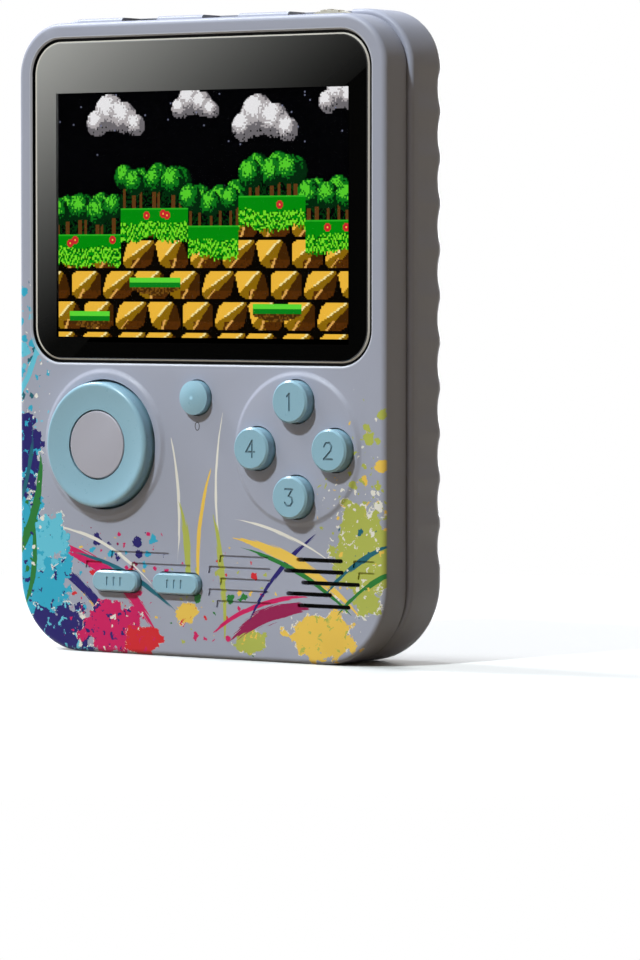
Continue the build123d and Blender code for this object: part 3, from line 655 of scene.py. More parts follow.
@dataclass(frozen=True)
class WindowFinish(Finish):
    """Clear acrylic with a ground edge, inked black round the picture, with a painted reflection.

    The painted reflection is a grey over the border's top and left strips. It starts at the
    brightest screen value in the upper left and loses so many a millimetre across and down.
    Slanting lines part it from the black. The front bevel of the ground edge has a painted
    highlight.
    """

    bend: float = 1.49
    window: Panel = WINDOW_PANEL
    picture: Panel = PICTURE_PANEL
    edge: float = 0.24
    edge_blur: float = 0.03
    edge_roughness: float = 0.4
    # Painted highlight on the ground edge's front bevel: a pale colour and a faint glow.
    edge_highlight_colour: Colour = srgb(190, 186, 178)
    edge_highlight_glow: float = 0.17
    left_ground: float = 0.4
    bevel_end: float = -6.75
    bevel_blur: float = 0.05
    # The painted reflection's grey: its brightest value, its darkest, its gamma and how fast it
    # fades.
    brightest: float = 178.0
    darkest: float = 0.08
    gamma: float = 2.2
    fade_across: float = 1.85
    fade_down: float = 2.75
    slant: float = 0.72
    slant_blur: float = 0.1
    run_on: float = 7.8
    run_slant: float = 1.18
    ink_blur: float = 0.02
    margin: float = 0.9
    black: Colour = (0.002, 0.002, 0.002, 1.0)

    def grey(self, graph: Graph, parts: bpy.types.bpy_prop_collection) -> Socket:
        """The grey of the painted reflection, which fades from the upper left.

        Args:
            graph: The material's graph.
            parts: The place on the front, by its parts.

        Returns:
            The grey, as a colour.
        """
        across = graph.math("SUBTRACT", parts["X"], self.window.left)
        down = graph.math("SUBTRACT", self.window.top, parts["Y"])
        value = graph.math("MULTIPLY_ADD", across, -self.fade_across / FULL, self.brightest / FULL)
        value = graph.math("MULTIPLY_ADD", down, -self.fade_down / FULL, value)
        level = graph.math("POWER", graph.math("MAXIMUM", value, self.darkest), self.gamma)
        return graph.add("ShaderNodeCombineColor", {0: level, 1: level, 2: level}).outputs[0]

    def border(self, graph: Graph, point: Socket) -> tuple[Socket, Socket, Socket]:
        """The inked border round the picture, and where the painted reflection lies on it.

        Args:
            graph: The material's graph.
            point: The point, in millimetres.

        Returns:
            1 where the painted reflection lies, 1 on the whole border, each 0 elsewhere, and its
            grey.
        """
        parts = graph.parts(graph.flat_mm(point))
        right = graph.math("SUBTRACT", parts["X"], self.picture.right)
        above = graph.math("SUBTRACT", parts["Y"], self.picture.top)
        left = graph.math("SUBTRACT", self.picture.left, parts["X"])
        below = graph.math("SUBTRACT", self.picture.bottom, parts["Y"])
        mitre = graph.math("MULTIPLY_ADD", right, -self.slant, above)
        top = graph.math("MULTIPLY", graph.smooth(above, 0.0, self.ink_blur),
                         graph.smooth(mitre, -self.slant_blur, self.slant_blur))
        beside = graph.math("MAXIMUM", left, below)
        start = graph.math("ADD", left, self.run_on)
        reach = graph.math("MULTIPLY_ADD", below, -self.run_slant, start)
        side = graph.math("MULTIPLY", graph.smooth(beside, 0.0, self.ink_blur),
                          graph.smooth(reach, -self.slant_blur, self.slant_blur))
        glare_strips = graph.math("MAXIMUM", top, side)
        outside = graph.math("MAXIMUM", graph.math("MAXIMUM", right, above), beside)
        framed = graph.smooth(outside, self.margin, self.margin + self.ink_blur)
        return glare_strips, graph.math("MAXIMUM", glare_strips, framed), self.grey(graph, parts)

    def shader(self, graph: Graph, point: Socket) -> bpy.types.Node:
        """A clear shader whose gloss varies a little, with the ink, the painted reflection and the
        cloudy edge, which carries a painted highlight, over it.

        Args:
            graph: The material's graph.
            point: The point, in millimetres.

        Returns:
            The shader node.
        """
        # The ground band is wider on the left, so that its painted highlight shows on that side
        # too.
        panels = (self.window, self.window.shifted(self.left_ground))
        outside = graph.math("MAXIMUM", *(graph.panel_distance(point, panel) for panel in panels))
        ground = graph.smooth(outside, -self.edge - self.edge_blur, -self.edge)
        glare_strips, inked, grey = self.border(graph, point)
        in_glare, in_ink = (graph.math("GREATER_THAN", mask, 0.0) for mask in (glare_strips, inked))
        # Painted reflection: the grey over the top and left strips of the black border.
        ink = graph.blend(in_glare, graph.blend(in_ink, self.colour, self.black), grey)
        # Painted highlight: the ground edge's front bevel turns pale and glows a little.
        depth = graph.parts(point)["Y"]
        bevel = graph.smooth(depth, self.bevel_end + self.bevel_blur, self.bevel_end)
        lit = graph.math("MULTIPLY", ground, bevel)
        colour = graph.blend(lit, graph.blend(ground, ink, self.black), self.edge_highlight_colour)
        smear = graph.noise(point, self.mottle_scale, detail=4.0, roughness=0.6)
        polished = graph.math("MULTIPLY_ADD", smear, self.roughness_drift, self.roughness)
        roughness = graph.math("MULTIPLY_ADD", ground, self.edge_roughness, polished)
        clear = graph.math("SUBTRACT", 1.0, graph.math("MAXIMUM", ground, inked))
        return graph.add("ShaderNodeBsdfPrincipled", {
            "Base Color": colour, "Roughness": roughness, "IOR": self.bend,
            "Transmission Weight": clear, "Emission Color": self.edge_highlight_colour,
            "Emission Strength": graph.math("MULTIPLY", lit, self.edge_highlight_glow)})


@dataclass(frozen=True)
class WovenFinish(Finish):
    """Fine cloth with crossing threads."""

    threads: float = 2.2

    def normal_socket(self, graph: Graph, point: Socket) -> Socket:
        """Threads that cross at right angles.

        Args:
            graph: The material's graph.
            point: The point, in millimetres.

        Returns:
            The normal.
        """
        warp, weft = (graph.add("ShaderNodeTexWave", {"Vector": point, "Scale": self.threads},
                                bands_direction=way).outputs["Fac"] for way in ("X", "Z"))
        return graph.bump(graph.math("MAXIMUM", warp, weft), self.grain_depth)


@dataclass(frozen=True)
class CircuitFinish(Finish):
    """Solder mask over copper tracks that run in short straight lengths."""

    track: Colour = srgb(38, 132, 84)
    pitch: float = 0.9
    gap: float = 0.12
    run: float = 9.0

    def colour_socket(self, graph: Graph, point: Socket) -> Socket:
        """The mask's green with lighter tracks below it.

        Args:
            graph: The material's graph.
            point: The point, in millimetres.

        Returns:
            The colour.
        """
        plain = super().colour_socket(graph, point)
        turned = graph.add("ShaderNodeVectorRotate", {"Vector": point, "Angle": math.radians(90)},
                           rotation_type="X_AXIS")
        bricks = graph.add("ShaderNodeTexBrick", {
            "Vector": turned.outputs[0], "Scale": 1 / self.pitch, "Mortar Size": self.gap,
            "Brick Width": self.run, "Row Height": 1.0})
        return graph.blend(bricks.outputs["Fac"], plain, self.track)


@dataclass(frozen=True)
class PictureFinish(Finish):
    """A lit display that shows the colours kept in the mesh."""

    attribute: str = "picture"
    strength: float = 1.0

    def shader(self, graph: Graph, point: Socket) -> bpy.types.Node:
        """A dark panel that gives out the picture.

        Args:
            graph: The material's graph.
            point: The point, in millimetres, which a picture kept in the mesh does not need.

        Returns:
            The shader node.
        """
        picture = graph.add("ShaderNodeAttribute", attribute_name=self.attribute).outputs["Color"]
        return graph.add("ShaderNodeBsdfPrincipled", {
            "Base Color": self.colour, "Roughness": self.roughness, "Specular IOR Level": 0.0,
            "Emission Color": picture, "Emission Strength": self.strength})


CASE = Finish("case_plastic", srgb(159, 162, 179), roughness=0.44, mottle=0.025,
              grain_scale=4.0, grain_depth=0.005 * MM, specular=0.28)
PRINT_MARKS = (
    Drops((Ink.CYAN, Ink.CYAN, Ink.SKY, Ink.TEAL), (-41.5, 52.0), (11.0, 20.0), 2.9, 3.6, 1.1),
    Drops((Ink.CYAN, Ink.SKY, Ink.CREAM), (-40.0, 50.0), (9.0, 22.0), 1.4, 1.3, 1.6),
    Drops((Ink.MAGENTA, Ink.NAVY, Ink.CYAN, Ink.RED, Ink.YELLOW), (-19.0, 13.0), (17.0, 12.5), 2.0,
          2.0, 1.5),
    Drops((Ink.YELLOW, Ink.RED, Ink.LIME, Ink.GREEN, Ink.MAGENTA), (5.0, 9.0), (17.0, 13.0), 2.5,
          2.3, 1.9),
    Drops((Ink.LIME, Ink.LIME, Ink.YELLOW, Ink.CREAM), (37.0, 33.0), (9.0, 19.0), 2.5, 2.9, 1.2),
    Drops((Ink.LIME, Ink.CREAM, Ink.YELLOW), (34.0, 27.0), (11.0, 17.0), 1.2, 1.0, 1.8),
    Drops((Ink.MAGENTA, Ink.CRIMSON, Ink.NAVY, Ink.CYAN), (-16.0, 18.0), (13.0, 8.0), 3.2, 3.0,
          1.5),
    Ribbon(Ink.SKY, (-60.0, 62.0), 25.5, 1.3, -70.0, 66.0),
    Ribbon(Ink.CREAM, (-66.0, 24.0), 62.0, 0.7, -8.0, 22.0, 2.6),
    Ribbon(Ink.LIME, (-46.0, 14.0), 44.0, 1.5, -6.0, 24.0, 2.4),
    Ribbon(Ink.YELLOW, (52.0, 16.0), 52.0, 0.9, 160.0, 24.0, 2.6),
    Ribbon(Ink.CREAM, (60.0, 30.0), 56.0, 0.6, 166.0, 26.0, 2.6),
    Ribbon(Ink.LIME, (-70.0, 6.0), 76.0, 1.4, -2.0, 17.0, 2.4),
    Ribbon(Ink.MAGENTA, (-40.0, -18.0), 38.0, 2.5, 34.0, 48.0, 2.0),
    Ribbon(Ink.NAVY, (-44.0, -12.0), 30.0, 1.7, 18.0, 62.0, 2.2),
    Ribbon(Ink.TEAL, (-34.0, -30.0), 48.0, 0.9, 50.0, 34.0, 2.4),
    Ribbon(Ink.CREAM, (-36.0, -16.0), 38.5, 0.7, 46.0, 40.0, 2.8),
    Puddle(Ink.NAVY, (-40.5, 34.0), (5.4, 9.5), 2.1, Ink.CYAN, 0.57),
    Puddle(Ink.CYAN, (-37.5, 13.0), (8.6, 15.0), 2.0, Ink.NAVY),
    Puddle(Ink.SKY, (-33.0, 20.0), (3.4, 6.0), 2.2, Ink.CYAN),
    Ribbon(Ink.GREEN, (-64.0, 34.0), 29.0, 1.8, -46.0, 50.0, 2.0),
    Ribbon(Ink.TEAL, (-70.0, 40.0), 33.0, 1.0, -44.0, 46.0, 2.2),
    Ribbon(Ink.GREEN, (-61.0, 18.0), 24.5, 1.1, -34.0, 56.0, 2.2),
    Puddle(Ink.NAVY, (-30.5, 2.5), (8.0, 6.0), 2.0, Ink.SKY, 0.58),
    Puddle(Ink.MAGENTA, (-18.5, 4.5), (7.6, 4.6), 2.0, Ink.NAVY),
    Puddle(Ink.RED, (-12.0, 2.5), (4.4, 2.8), 2.1, Ink.MAGENTA),
    Puddle(Ink.YELLOW, (-2.5, 8.0), (2.6, 1.8), 2.0, Ink.RED),
    Puddle(Ink.LIME, (35.5, 19.0), (6.0, 9.5), 1.9, Ink.CREAM),
    Puddle(Ink.YELLOW, (27.0, 5.0), (7.4, 4.2), 2.0, Ink.LIME),
    Puddle(Ink.LIME, (11.5, 3.5), (3.4, 2.2), 2.2, Ink.YELLOW),
    Ribbon(Ink.CRIMSON, (26.0, -20.0), 30.0, 2.7, 92.0, 38.0, 2.0),
    Ribbon(Ink.MAGENTA, (24.0, -22.0), 33.6, 1.1, 90.0, 38.0, 2.4),
    Ribbon(Ink.NAVY, (50.0, -14.0), 44.0, 0.9, 122.0, 30.0, 2.2),
    Ribbon(Ink.YELLOW, (0.0, -30.0), 52.0, 2.0, 48.0, 34.0, 2.0),
    Ribbon(Ink.GREEN, (0.0, -31.4), 52.0, 0.9, 50.0, 30.0, 2.2),
    Ribbon(Ink.CREAM, (2.0, -28.0), 53.0, 0.6, 54.0, 30.0, 2.8),
    Ribbon(Ink.TEAL, (52.0, -10.0), 33.0, 1.0, 106.0, 34.0, 2.6),
    Ribbon(Ink.GREEN, (54.0, -14.0), 33.0, 0.9, 104.0, 34.0, 2.8),
    Drops((Ink.NAVY, Ink.GREEN, Ink.CREAM), (-38.0, 22.0), (6.0, 20.0), 1.7, 1.3, 1.2),
    Drops((Ink.NAVY, Ink.MAGENTA, Ink.CREAM), (-22.0, 5.0), (12.0, 7.0), 1.8, 1.3, 1.4),
    Drops((Ink.CREAM, Ink.TEAL, Ink.YELLOW), (35.0, 18.0), (8.0, 14.0), 2.1, 1.2, 1.6),
)
PRINTED_CASE = variant(PrintedFinish, "case_print", CASE, marks=PRINT_MARKS)
CONTROL = Finish("control_plastic", srgb(138, 177, 196), roughness=0.3, mottle=0.03,
                 grain_depth=0.003 * MM)
KEY = variant(EngravedFinish, "key_plastic", CONTROL)
INSERT = Finish("pad_centre", srgb(166, 164, 176), roughness=0.42, mottle=0.03, grain_scale=4.0)
WINDOW = WindowFinish("window_acrylic", (0.97, 0.98, 0.98, 1.0), roughness=0.01,
                      roughness_drift=0.02)
MASK = Finish("mask_ink", srgb(2, 2, 3), roughness=0.6, mottle=0.2, specular=0.0)
TAPE = Finish("tape", srgb(16, 16, 18), roughness=0.7, grain_scale=3.0)
STEEL = Finish("sheet_steel", srgb(176, 178, 182), roughness=0.34, metallic=1.0, grain_scale=2.0)
PICTURE = PictureFinish("picture_light", srgb(3, 3, 4), roughness=0.5)
PANEL = Finish("display_glass", srgb(10, 12, 16), roughness=0.15, mottle=0.2)
DIFFUSER = Finish("diffuser", srgb(226, 228, 230), roughness=0.6)
FOAM = Finish("foam", srgb(38, 38, 42), roughness=0.95, mottle=0.25, grain_scale=2.4,
              grain_depth=0.05 * MM)
RIBBON_CABLE = Finish("ribbon", srgb(176, 104, 30), roughness=0.32, coat=0.3, grain_scale=1.4)
RUBBER = Finish("silicone", srgb(150, 152, 158), roughness=0.62, grain_scale=2.2,
                grain_depth=0.01 * MM)
BOARD = CircuitFinish("board", srgb(16, 92, 58), roughness=0.32, coat=0.4)
CHIP = Finish("chip", srgb(26, 26, 29), roughness=0.55, grain_scale=7.0, grain_depth=0.01 * MM)
CAN = Finish("can", srgb(196, 198, 202), roughness=0.24, metallic=1.0, grain_scale=3.0)
SCREW = Finish("screw", srgb(92, 92, 96), roughness=0.3, metallic=1.0, grain_scale=4.0)
PAPER = Finish("cone_paper", srgb(30, 29, 28), roughness=0.9, grain_scale=3.0,
               grain_depth=0.03 * MM)
CLOTH = WovenFinish("cloth", srgb(14, 14, 15), roughness=0.9, grain_depth=0.05 * MM)
WIRE = Finish("wire", srgb(150, 26, 26), roughness=0.45)
CELL = Finish("cell", srgb(48, 76, 118), roughness=0.3, coat=0.3, grain_scale=1.2,
              grain_depth=0.01 * MM)
CONTACT = Finish("contact", srgb(226, 182, 92), roughness=0.22, metallic=1.0)
KNOB = Finish("knob", srgb(34, 35, 38))
WHEEL = Finish("wheel", srgb(228, 227, 222), roughness=0.48, grain_scale=4.0)
JACK = Finish("jack", srgb(24, 24, 26), roughness=0.42)
JACK_RING = Finish("jack_ring", srgb(206, 206, 208), roughness=0.2, metallic=1.0)
MARK_INK = Finish("mark_ink", srgb(92, 92, 100), mottle=0.1)
CARD = Finish("card_felt", srgb(3, 3, 3), roughness=1.0, specular=0.0)

NODE_FINISHES: dict[str, Finish] = {
    "front_shell": PRINTED_CASE, "rear_shell": CASE, "battery_door": CASE, "screen_lens": WINDOW,
    "lens_print": MASK, "lens_tape": TAPE, "display_frame": STEEL, "display_panel": PANEL,
    "display_backlight": DIFFUSER, "display_foam": FOAM, "display_flex": RIBBON_CABLE,
    "pad_disc": CONTROL, "pad_insert": INSERT, "pad_pivot": STEEL, "pad_pivot_post": CASE,
    "pad_membrane": RUBBER, "face_button_membrane": RUBBER, "reset_membrane": RUBBER,
    "menu_membrane": RUBBER, "face_button_1": KEY, "face_button_2": KEY, "face_button_3": KEY,
    "face_button_4": KEY,
    "reset_button": CONTROL, "select_button": CONTROL, "start_button": CONTROL,
    "main_board": BOARD, "processor": CHIP, "memory_chip": CHIP, "crystal": CAN,
    "board_capacitors": CAN, "case_screws": SCREW, "board_screws": SCREW,
    "speaker_gasket": FOAM, "speaker_cloth": CLOTH, "speaker_frame": STEEL,
    "speaker_cone": PAPER, "speaker_magnet": CAN, "speaker_wires": WIRE, "battery": CELL,
    "battery_contacts": CONTACT, "power_switch_body": STEEL, "power_switch_knob": KNOB,
    "usb_port_shell": STEEL, "usb_tongue": KNOB, "volume_pot": CHIP, "volume_wheel": WHEEL,
    "av_jack": JACK, "gamepad_jack": JACK,
}


class GeometryTree(Graph):
    """A geometry node tree with named inputs."""

    def __init__(self, name: str, inputs: Sequence[tuple[str, str, object]] = ()) -> None:
        """Makes the tree with a geometry input and output, and the other inputs.

        Args:
            name: The tree's name.
            inputs: The other inputs by name, kind and default, which may be missing.
        """
        super().__init__(bpy.data.node_groups.new(name, "GeometryNodeTree"))
        sockets = self.tree.interface
        sockets.new_socket("Geometry", in_out="INPUT", socket_type="NodeSocketGeometry")
        sockets.new_socket("Geometry", in_out="OUTPUT", socket_type="NodeSocketGeometry")
        self.identifiers: dict[str, str] = {}
        for label, kind, default in inputs:
            socket = sockets.new_socket(label, in_out="INPUT", socket_type=kind)
            if default is not None:
                socket.default_value = default
            self.identifiers[label] = socket.identifier
        self.entry = self.add("NodeGroupInput")
        self.exit = self.add("NodeGroupOutput")

    def put_on(self, piece: bpy.types.Object, values: dict[str, object] | None = None) -> None:
        """Adds the tree to an object as a modifier.

        Args:
            piece: The object.
            values: Input values by name.
        """
        modifier = piece.modifiers.new(self.tree.name, "NODES")
        modifier.node_group = self.tree
        for label, value in (values or {}).items():
            modifier[self.identifiers[label]] = value


def soften_tree(angle: float, weld: float = 0.0005 * MM) -> GeometryTree:
    """The tree that joins loose triangles and shades them as one surface up to an edge angle.

    Args:
        angle: The largest angle between two faces that is shaded round, in degrees.
        weld: How close two corners are to be joined.

    Returns:
        The tree.
    """
    tree = GeometryTree("soften", [("Angle", "NodeSocketFloat", math.radians(angle))])
    entry = tree.entry.outputs
    merged = tree.add("GeometryNodeMergeByDistance", {
        "Geometry": entry["Geometry"], "Distance": weld})
    faces = tree.add("GeometryNodeSetShadeSmooth", {
        "Geometry": merged.outputs[0], "Shade Smooth": True}, domain="FACE")
    edge = tree.add("GeometryNodeInputMeshEdgeAngle")
    gentle = tree.add("FunctionNodeCompare", {
        0: edge.outputs["Unsigned Angle"], 1: entry["Angle"]}, data_type="FLOAT",
        operation="LESS_EQUAL")
    edges = tree.add("GeometryNodeSetShadeSmooth", {
        "Geometry": faces.outputs[0], "Shade Smooth": gentle.outputs[0]}, domain="EDGE")
    tree.feed(tree.exit.inputs["Geometry"], edges.outputs[0])
    return tree


def row_tree() -> GeometryTree:
    """The tree that sets a row of equal blocks along a line.

    Returns:
        The tree, with inputs Count, Start, Step, Size and Finish.
    """
    tree = GeometryTree("block_row", [
        ("Count", "NodeSocketInt", 4), ("Start", "NodeSocketVector", None),
        ("Step", "NodeSocketVector", None), ("Size", "NodeSocketVector", None),
        ("Finish", "NodeSocketMaterial", None)])
    entry = tree.entry.outputs
    line = tree.add("GeometryNodeMeshLine", {
        "Count": entry["Count"], "Start Location": entry["Start"], "Offset": entry["Step"]},
        mode="OFFSET")
    cube = tree.add("GeometryNodeMeshCube", {"Size": entry["Size"]})
    placed = tree.add("GeometryNodeInstanceOnPoints", {
        "Points": line.outputs[0], "Instance": cube.outputs[0]})
    joined = tree.add("GeometryNodeRealizeInstances", {"Geometry": placed.outputs[0]})
    dressed = tree.add("GeometryNodeSetMaterial", {
        "Geometry": joined.outputs[0], "Material": entry["Finish"]})
    tree.feed(tree.exit.inputs["Geometry"], dressed.outputs[0])
    return tree


def realised(piece: bpy.types.Object) -> bpy.types.Object:
    """Turns what the modifiers make of an object into its own mesh, and removes them.

    Args:
        piece: The object.

    Returns:
        The same object.
    """
    evaluated = piece.evaluated_get(bpy.context.evaluated_depsgraph_get())
    made = bpy.data.meshes.new_from_object(evaluated)
    piece.modifiers.clear()
    piece.data = made
    return piece


def new_object(name: str, data: bpy.types.ID) -> bpy.types.Object:
    """Puts a new object at the origin.

    Args:
        name: Its name.
        data: Its mesh, lamp or camera.

    Returns:
        The object.
    """
    made = bpy.data.objects.new(name, data)
    bpy.context.scene.collection.objects.link(made)
    return made


def new_piece(name: str, vertices: Sequence[Point] = (),
              faces: Sequence[Sequence[int]] = ()) -> bpy.types.Object:
    """Puts a new mesh at the origin, which is empty if it is given no points.

    Args:
        name: The piece's name.
        vertices: Its points.
        faces: Its faces, as numbers of points.

    Returns:
        The new piece.
    """
    mesh = bpy.data.meshes.new(name)
    mesh.from_pydata(vertices, [], faces)
    return new_object(name, mesh)


def settle(piece: bpy.types.Object, body: Body,
           finish: Finish | None = None) -> bpy.types.Object:
    """Dresses a finished piece and lets it ride on its body.

    Args:
        piece: The object.
        body: The body that it moves with.
        finish: Its finish, or nothing if it has its material.

    Returns:
        The same object.
    """
    if finish is not None:
        piece.data.materials.clear()
        piece.data.materials.append(finish.material())
    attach(piece, body.value)
    return piece


def circle(steps: int) -> list[Pair]:
    """The points of a circle with a radius of 1, as pairs of cosine and sine."""
    angles = [2 * math.pi * turn / steps for turn in range(steps)]
    return [(math.cos(angle), math.sin(angle)) for angle in angles]


def closed_ring(name: str, loops: Sequence[Sequence[Point]]) -> bpy.types.Object:
    """A ring-shaped piece, made of round loops of points that are each joined to the next one.

    Args:
        name: The piece's name.
        loops: The loops, all with the same number of points. The last is joined to the first.

    Returns:
        The new piece, whose faces point outwards.
    """
    steps = len(loops[0])
    faces = []
    for count in range(len(loops)):
        here, there = count * steps, (count + 1) % len(loops) * steps
        for turn in range(steps):
            after = (turn + 1) % steps
            faces.append((here + turn, here + after, there + after, there + turn))
    piece = new_piece(name, [point for loop in loops for point in loop], faces)
    shape = bmesh.new()
    shape.from_mesh(piece.data)
    bmesh.ops.recalc_face_normals(shape, faces=shape.faces)
    shape.to_mesh(piece.data)
    shape.free()
    return piece


@dataclass
class Casing:
    """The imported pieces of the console, which keep their shape and get their finishes."""

    nodes: dict[str, bpy.types.Object]
    round_angle: float = 32.0

    def build(self) -> list[bpy.types.Object]:
        """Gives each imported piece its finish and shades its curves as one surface.

        Returns:
            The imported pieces.
        """
        tree = soften_tree(self.round_angle)
        for name, node in self.nodes.items():
            node.data.materials.clear()
            node.data.materials.append(NODE_FINISHES[name].material())
            tree.put_on(node)
        return list(self.nodes.values())


@dataclass
class Picture:
    """The lit picture: a night garden over a stone wall, drawn in square dots by rules.

    Places are shares of its width and height, and sizes are dots.
    """

    across: int = 232
    down: int = 160
    margin: float = 1.5 * MM
    lift: float = 0.02 * MM
    seed: int = 7
    black: Colour = srgb(2, 2, 3)
    steps: tuple[Pair, ...] = ((0.0, 0.07), (0.22, -0.03), (0.45, 0.04), (0.62, -0.07),
                               (0.84, 0.02))
    clouds: tuple[Point, ...] = ((0.2, 0.19, 0.2), (0.47, 0.13, 0.16), (0.7, 0.22, 0.22),
                                 (0.96, 0.12, 0.17))
    lumps: tuple[Point, ...] = ((-0.62, 0.34, 0.36), (-0.2, 0.62, 0.5), (0.3, 0.48, 0.42),
                                (0.7, 0.26, 0.3))
    ledges: tuple[Point, ...] = ((0.25, 0.42, 0.74), (0.66, 0.82, 0.84), (0.04, 0.18, 0.87))
    tree_rows: tuple[Pair, ...] = ((0.34, 0.36), (0.0, 0.42))
    random: np.random.Generator = field(init=False, repr=False)
    dots: np.ndarray = field(init=False, repr=False)
    row: np.ndarray = field(init=False, repr=False)
    column: np.ndarray = field(init=False, repr=False)
    speckle: np.ndarray = field(init=False, repr=False)
    level: np.ndarray = field(init=False, repr=False)

    def __post_init__(self) -> None:
        """Makes an empty picture, the fixed source of its scattered dots and the ground's steps."""
        self.dots = np.zeros((self.down, self.across, 4), np.float32)
        self.dots[:] = self.black
        self.random = np.random.default_rng(self.seed)
        self.row, self.column = np.mgrid[0:self.down, 0:self.across].astype(np.float32)
        self.speckle = self.random.random((self.down, self.across))
        self.level = np.zeros(self.across, np.float32)
        for start, rise in self.steps:
            self.level[int(start * self.across):] = rise * self.down

    def fill(self, where: np.ndarray, paint: Paint) -> None:
        """Gives one colour to the dots that are picked."""
        self.dots[where] = paint.value

    def stars(self, share: float = 0.004, lowest: float = 0.3) -> None:
        """A few dim stars in the sky."""
        self.fill((self.speckle < share) & (self.row < self.down * lowest), Paint.STAR)

    def cloud(self, middle: float, base: float, width: float) -> None:
        """One heap of cloud with a flat base, lit from the upper left.

        Args:
            middle, base, width: Its place and size as shares of the picture's width and height.
        """
        half = width * self.across / 2
        centre = middle * self.across
        floor = base * self.down
        inside = np.zeros(self.row.shape, bool)
        light = np.full(self.row.shape, 9.0, np.float32)
        for shift, rise, size in self.lumps:
            reach = size * half
            x = self.column - (centre + shift * half)
            y = self.row - (floor - rise * half)
            inside |= (np.hypot(x, y) / reach < 1) & (self.row < floor)
            light = np.minimum(light, np.hypot(x + reach * 0.35, y + reach * 0.45) / reach)
        body = inside & (self.speckle > (self.row - floor + half * 0.3) / half)
        dusk = light + self.speckle * 0.35
        self.fill(body, Paint.CLOUD_SHADE)
        self.fill(body & (dusk < 1.05), Paint.CLOUD)
        self.fill(body & (dusk < 0.7), Paint.CLOUD_LIGHT)

    def tree(self, centre: float, crown: float, floor: np.ndarray, radius: float) -> None:
        """One round tree top with its trunk.

        Args:
            centre, crown: The column and the row of its middle.
            floor: The row of the ground below each column.
            radius: Its radius.
        """
        x = self.column - centre
        y = self.row - crown
        above = self.row < floor
        lit = np.hypot(x + radius * 0.3, y + radius * 0.35) / radius
        leaf = (np.hypot(x, y) / radius < 1) & above
        self.fill(leaf, Paint.LEAF_SHADE)
        self.fill(leaf & (lit + 0.5 * self.speckle < 1.1), Paint.LEAF)
        self.fill(leaf & (lit + 0.6 * self.speckle < 0.72), Paint.LEAF_LIGHT)
        self.fill((np.abs(x) < 1.2) & (y > radius * 0.9) & above, Paint.TRUNK)

    def trees(self, top: float, bottom: float, pitch: int = 15) -> None:
        """Two rows of trees in front of a hedge, each set a little off its place.

        Args:
            top, bottom: The height of the rows as shares of the picture's height.
            pitch: How many dots lie between two trees.
        """
        floor = bottom * self.down + self.level
        height = (bottom - top) * self.down
        hedge = (self.row > floor - height * 0.45) & (self.row < floor)
        self.fill(hedge & (self.speckle < 0.5), Paint.BUSH)
        for shift, rise in self.tree_rows:
            for count in range(-1, self.across // pitch + 2):
                jitter = self.random.random(3)
                centre = (count + shift + 0.25 * jitter[0]) * pitch
                place = min(max(int(centre), 0), self.across - 1)
                crown = floor[place] - height * (1 - rise) + 4 * jitter[2]
                self.tree(centre, crown, floor, pitch * (0.5 + 0.14 * jitter[1]))

    def lawn(self, top: float, bottom: float, period: int = 37) -> None:
        """A strip of grass: flat on top, with pale tufts that hang over its lower edge.

        Args:
            top, bottom: Its height as shares of the picture's height.
            period: How wide one hanging arch is, in dots.
        """
        upper = top * self.down + self.level
        arch = 3.5 * np.abs(np.sin(self.column * math.pi / period))
        lower = bottom * self.down + self.level + arch + 3 * self.speckle[1]
        strip = (self.row > upper) & (self.row < lower)
        hanging = strip & (self.row > (upper + lower) / 2 - 1)
        comb = (self.row + 2 * (self.column % 3) + 3 * self.speckle[2]) % 5
        self.fill(strip, Paint.TURF)
        self.fill(hanging & (comb < 2.6), Paint.BLADE)
        self.fill(hanging & (self.speckle < 0.2), Paint.TURF_SHADE)
        self.fill(strip & (self.row < upper + 1), Paint.TURF_LIGHT)

    def wall(self, top: float, course: int = 19, length: int = 26) -> None:
        """Courses of cut stones with dark joints, which run to the bottom.

        Args:
            top: Where the wall starts, as a share of the picture's height.
            course: A course's height in dots.
            length: A stone's length in dots.
        """
        start = top * self.down
        ground = start + self.level
        level = ((self.row - start) // course).astype(int)
        shift = (level * 11 + (level % 3) * 5) % length
        number = ((self.column + shift) // length + 3 * level).astype(int)
        y = ((self.row - start) % course - course / 2) / (course / 2)
        x = ((self.column + shift) % length - length / 2) / (length / 2)
        x = x + (number % 3 - 1) * 0.22 * y
        wide, high = np.abs(x), np.abs(y)
        stone = (np.maximum(wide * 1.06, wide * 0.62 + high * 0.62) < 0.93) & (high < 0.86)
        stone &= self.row > ground
        ridge = np.abs(x * 0.9 + y * 0.9 + 0.3) < 0.07
        vein = np.abs(x + 0.5 * y - 0.1 * (number % 4)) < 0.07
        self.fill((self.row > ground) & ~stone, Paint.JOINT)
        self.fill(stone, Paint.STONE_SHADE)
        self.fill(stone & (x * 0.9 + y * 0.5 < 0.28), Paint.STONE)
        self.fill(stone & (x * 0.9 + y * 0.9 < -0.28), Paint.STONE_LIGHT)
        self.fill(stone & ridge & (y < 0.1), Paint.STONE_EDGE)
        self.fill(stone & (y > 0.42) & (x > -0.3) & (self.speckle < 0.85), Paint.STONE_FOOT)
        self.fill(stone & (y > 0.3) & vein, Paint.STONE_VEIN)

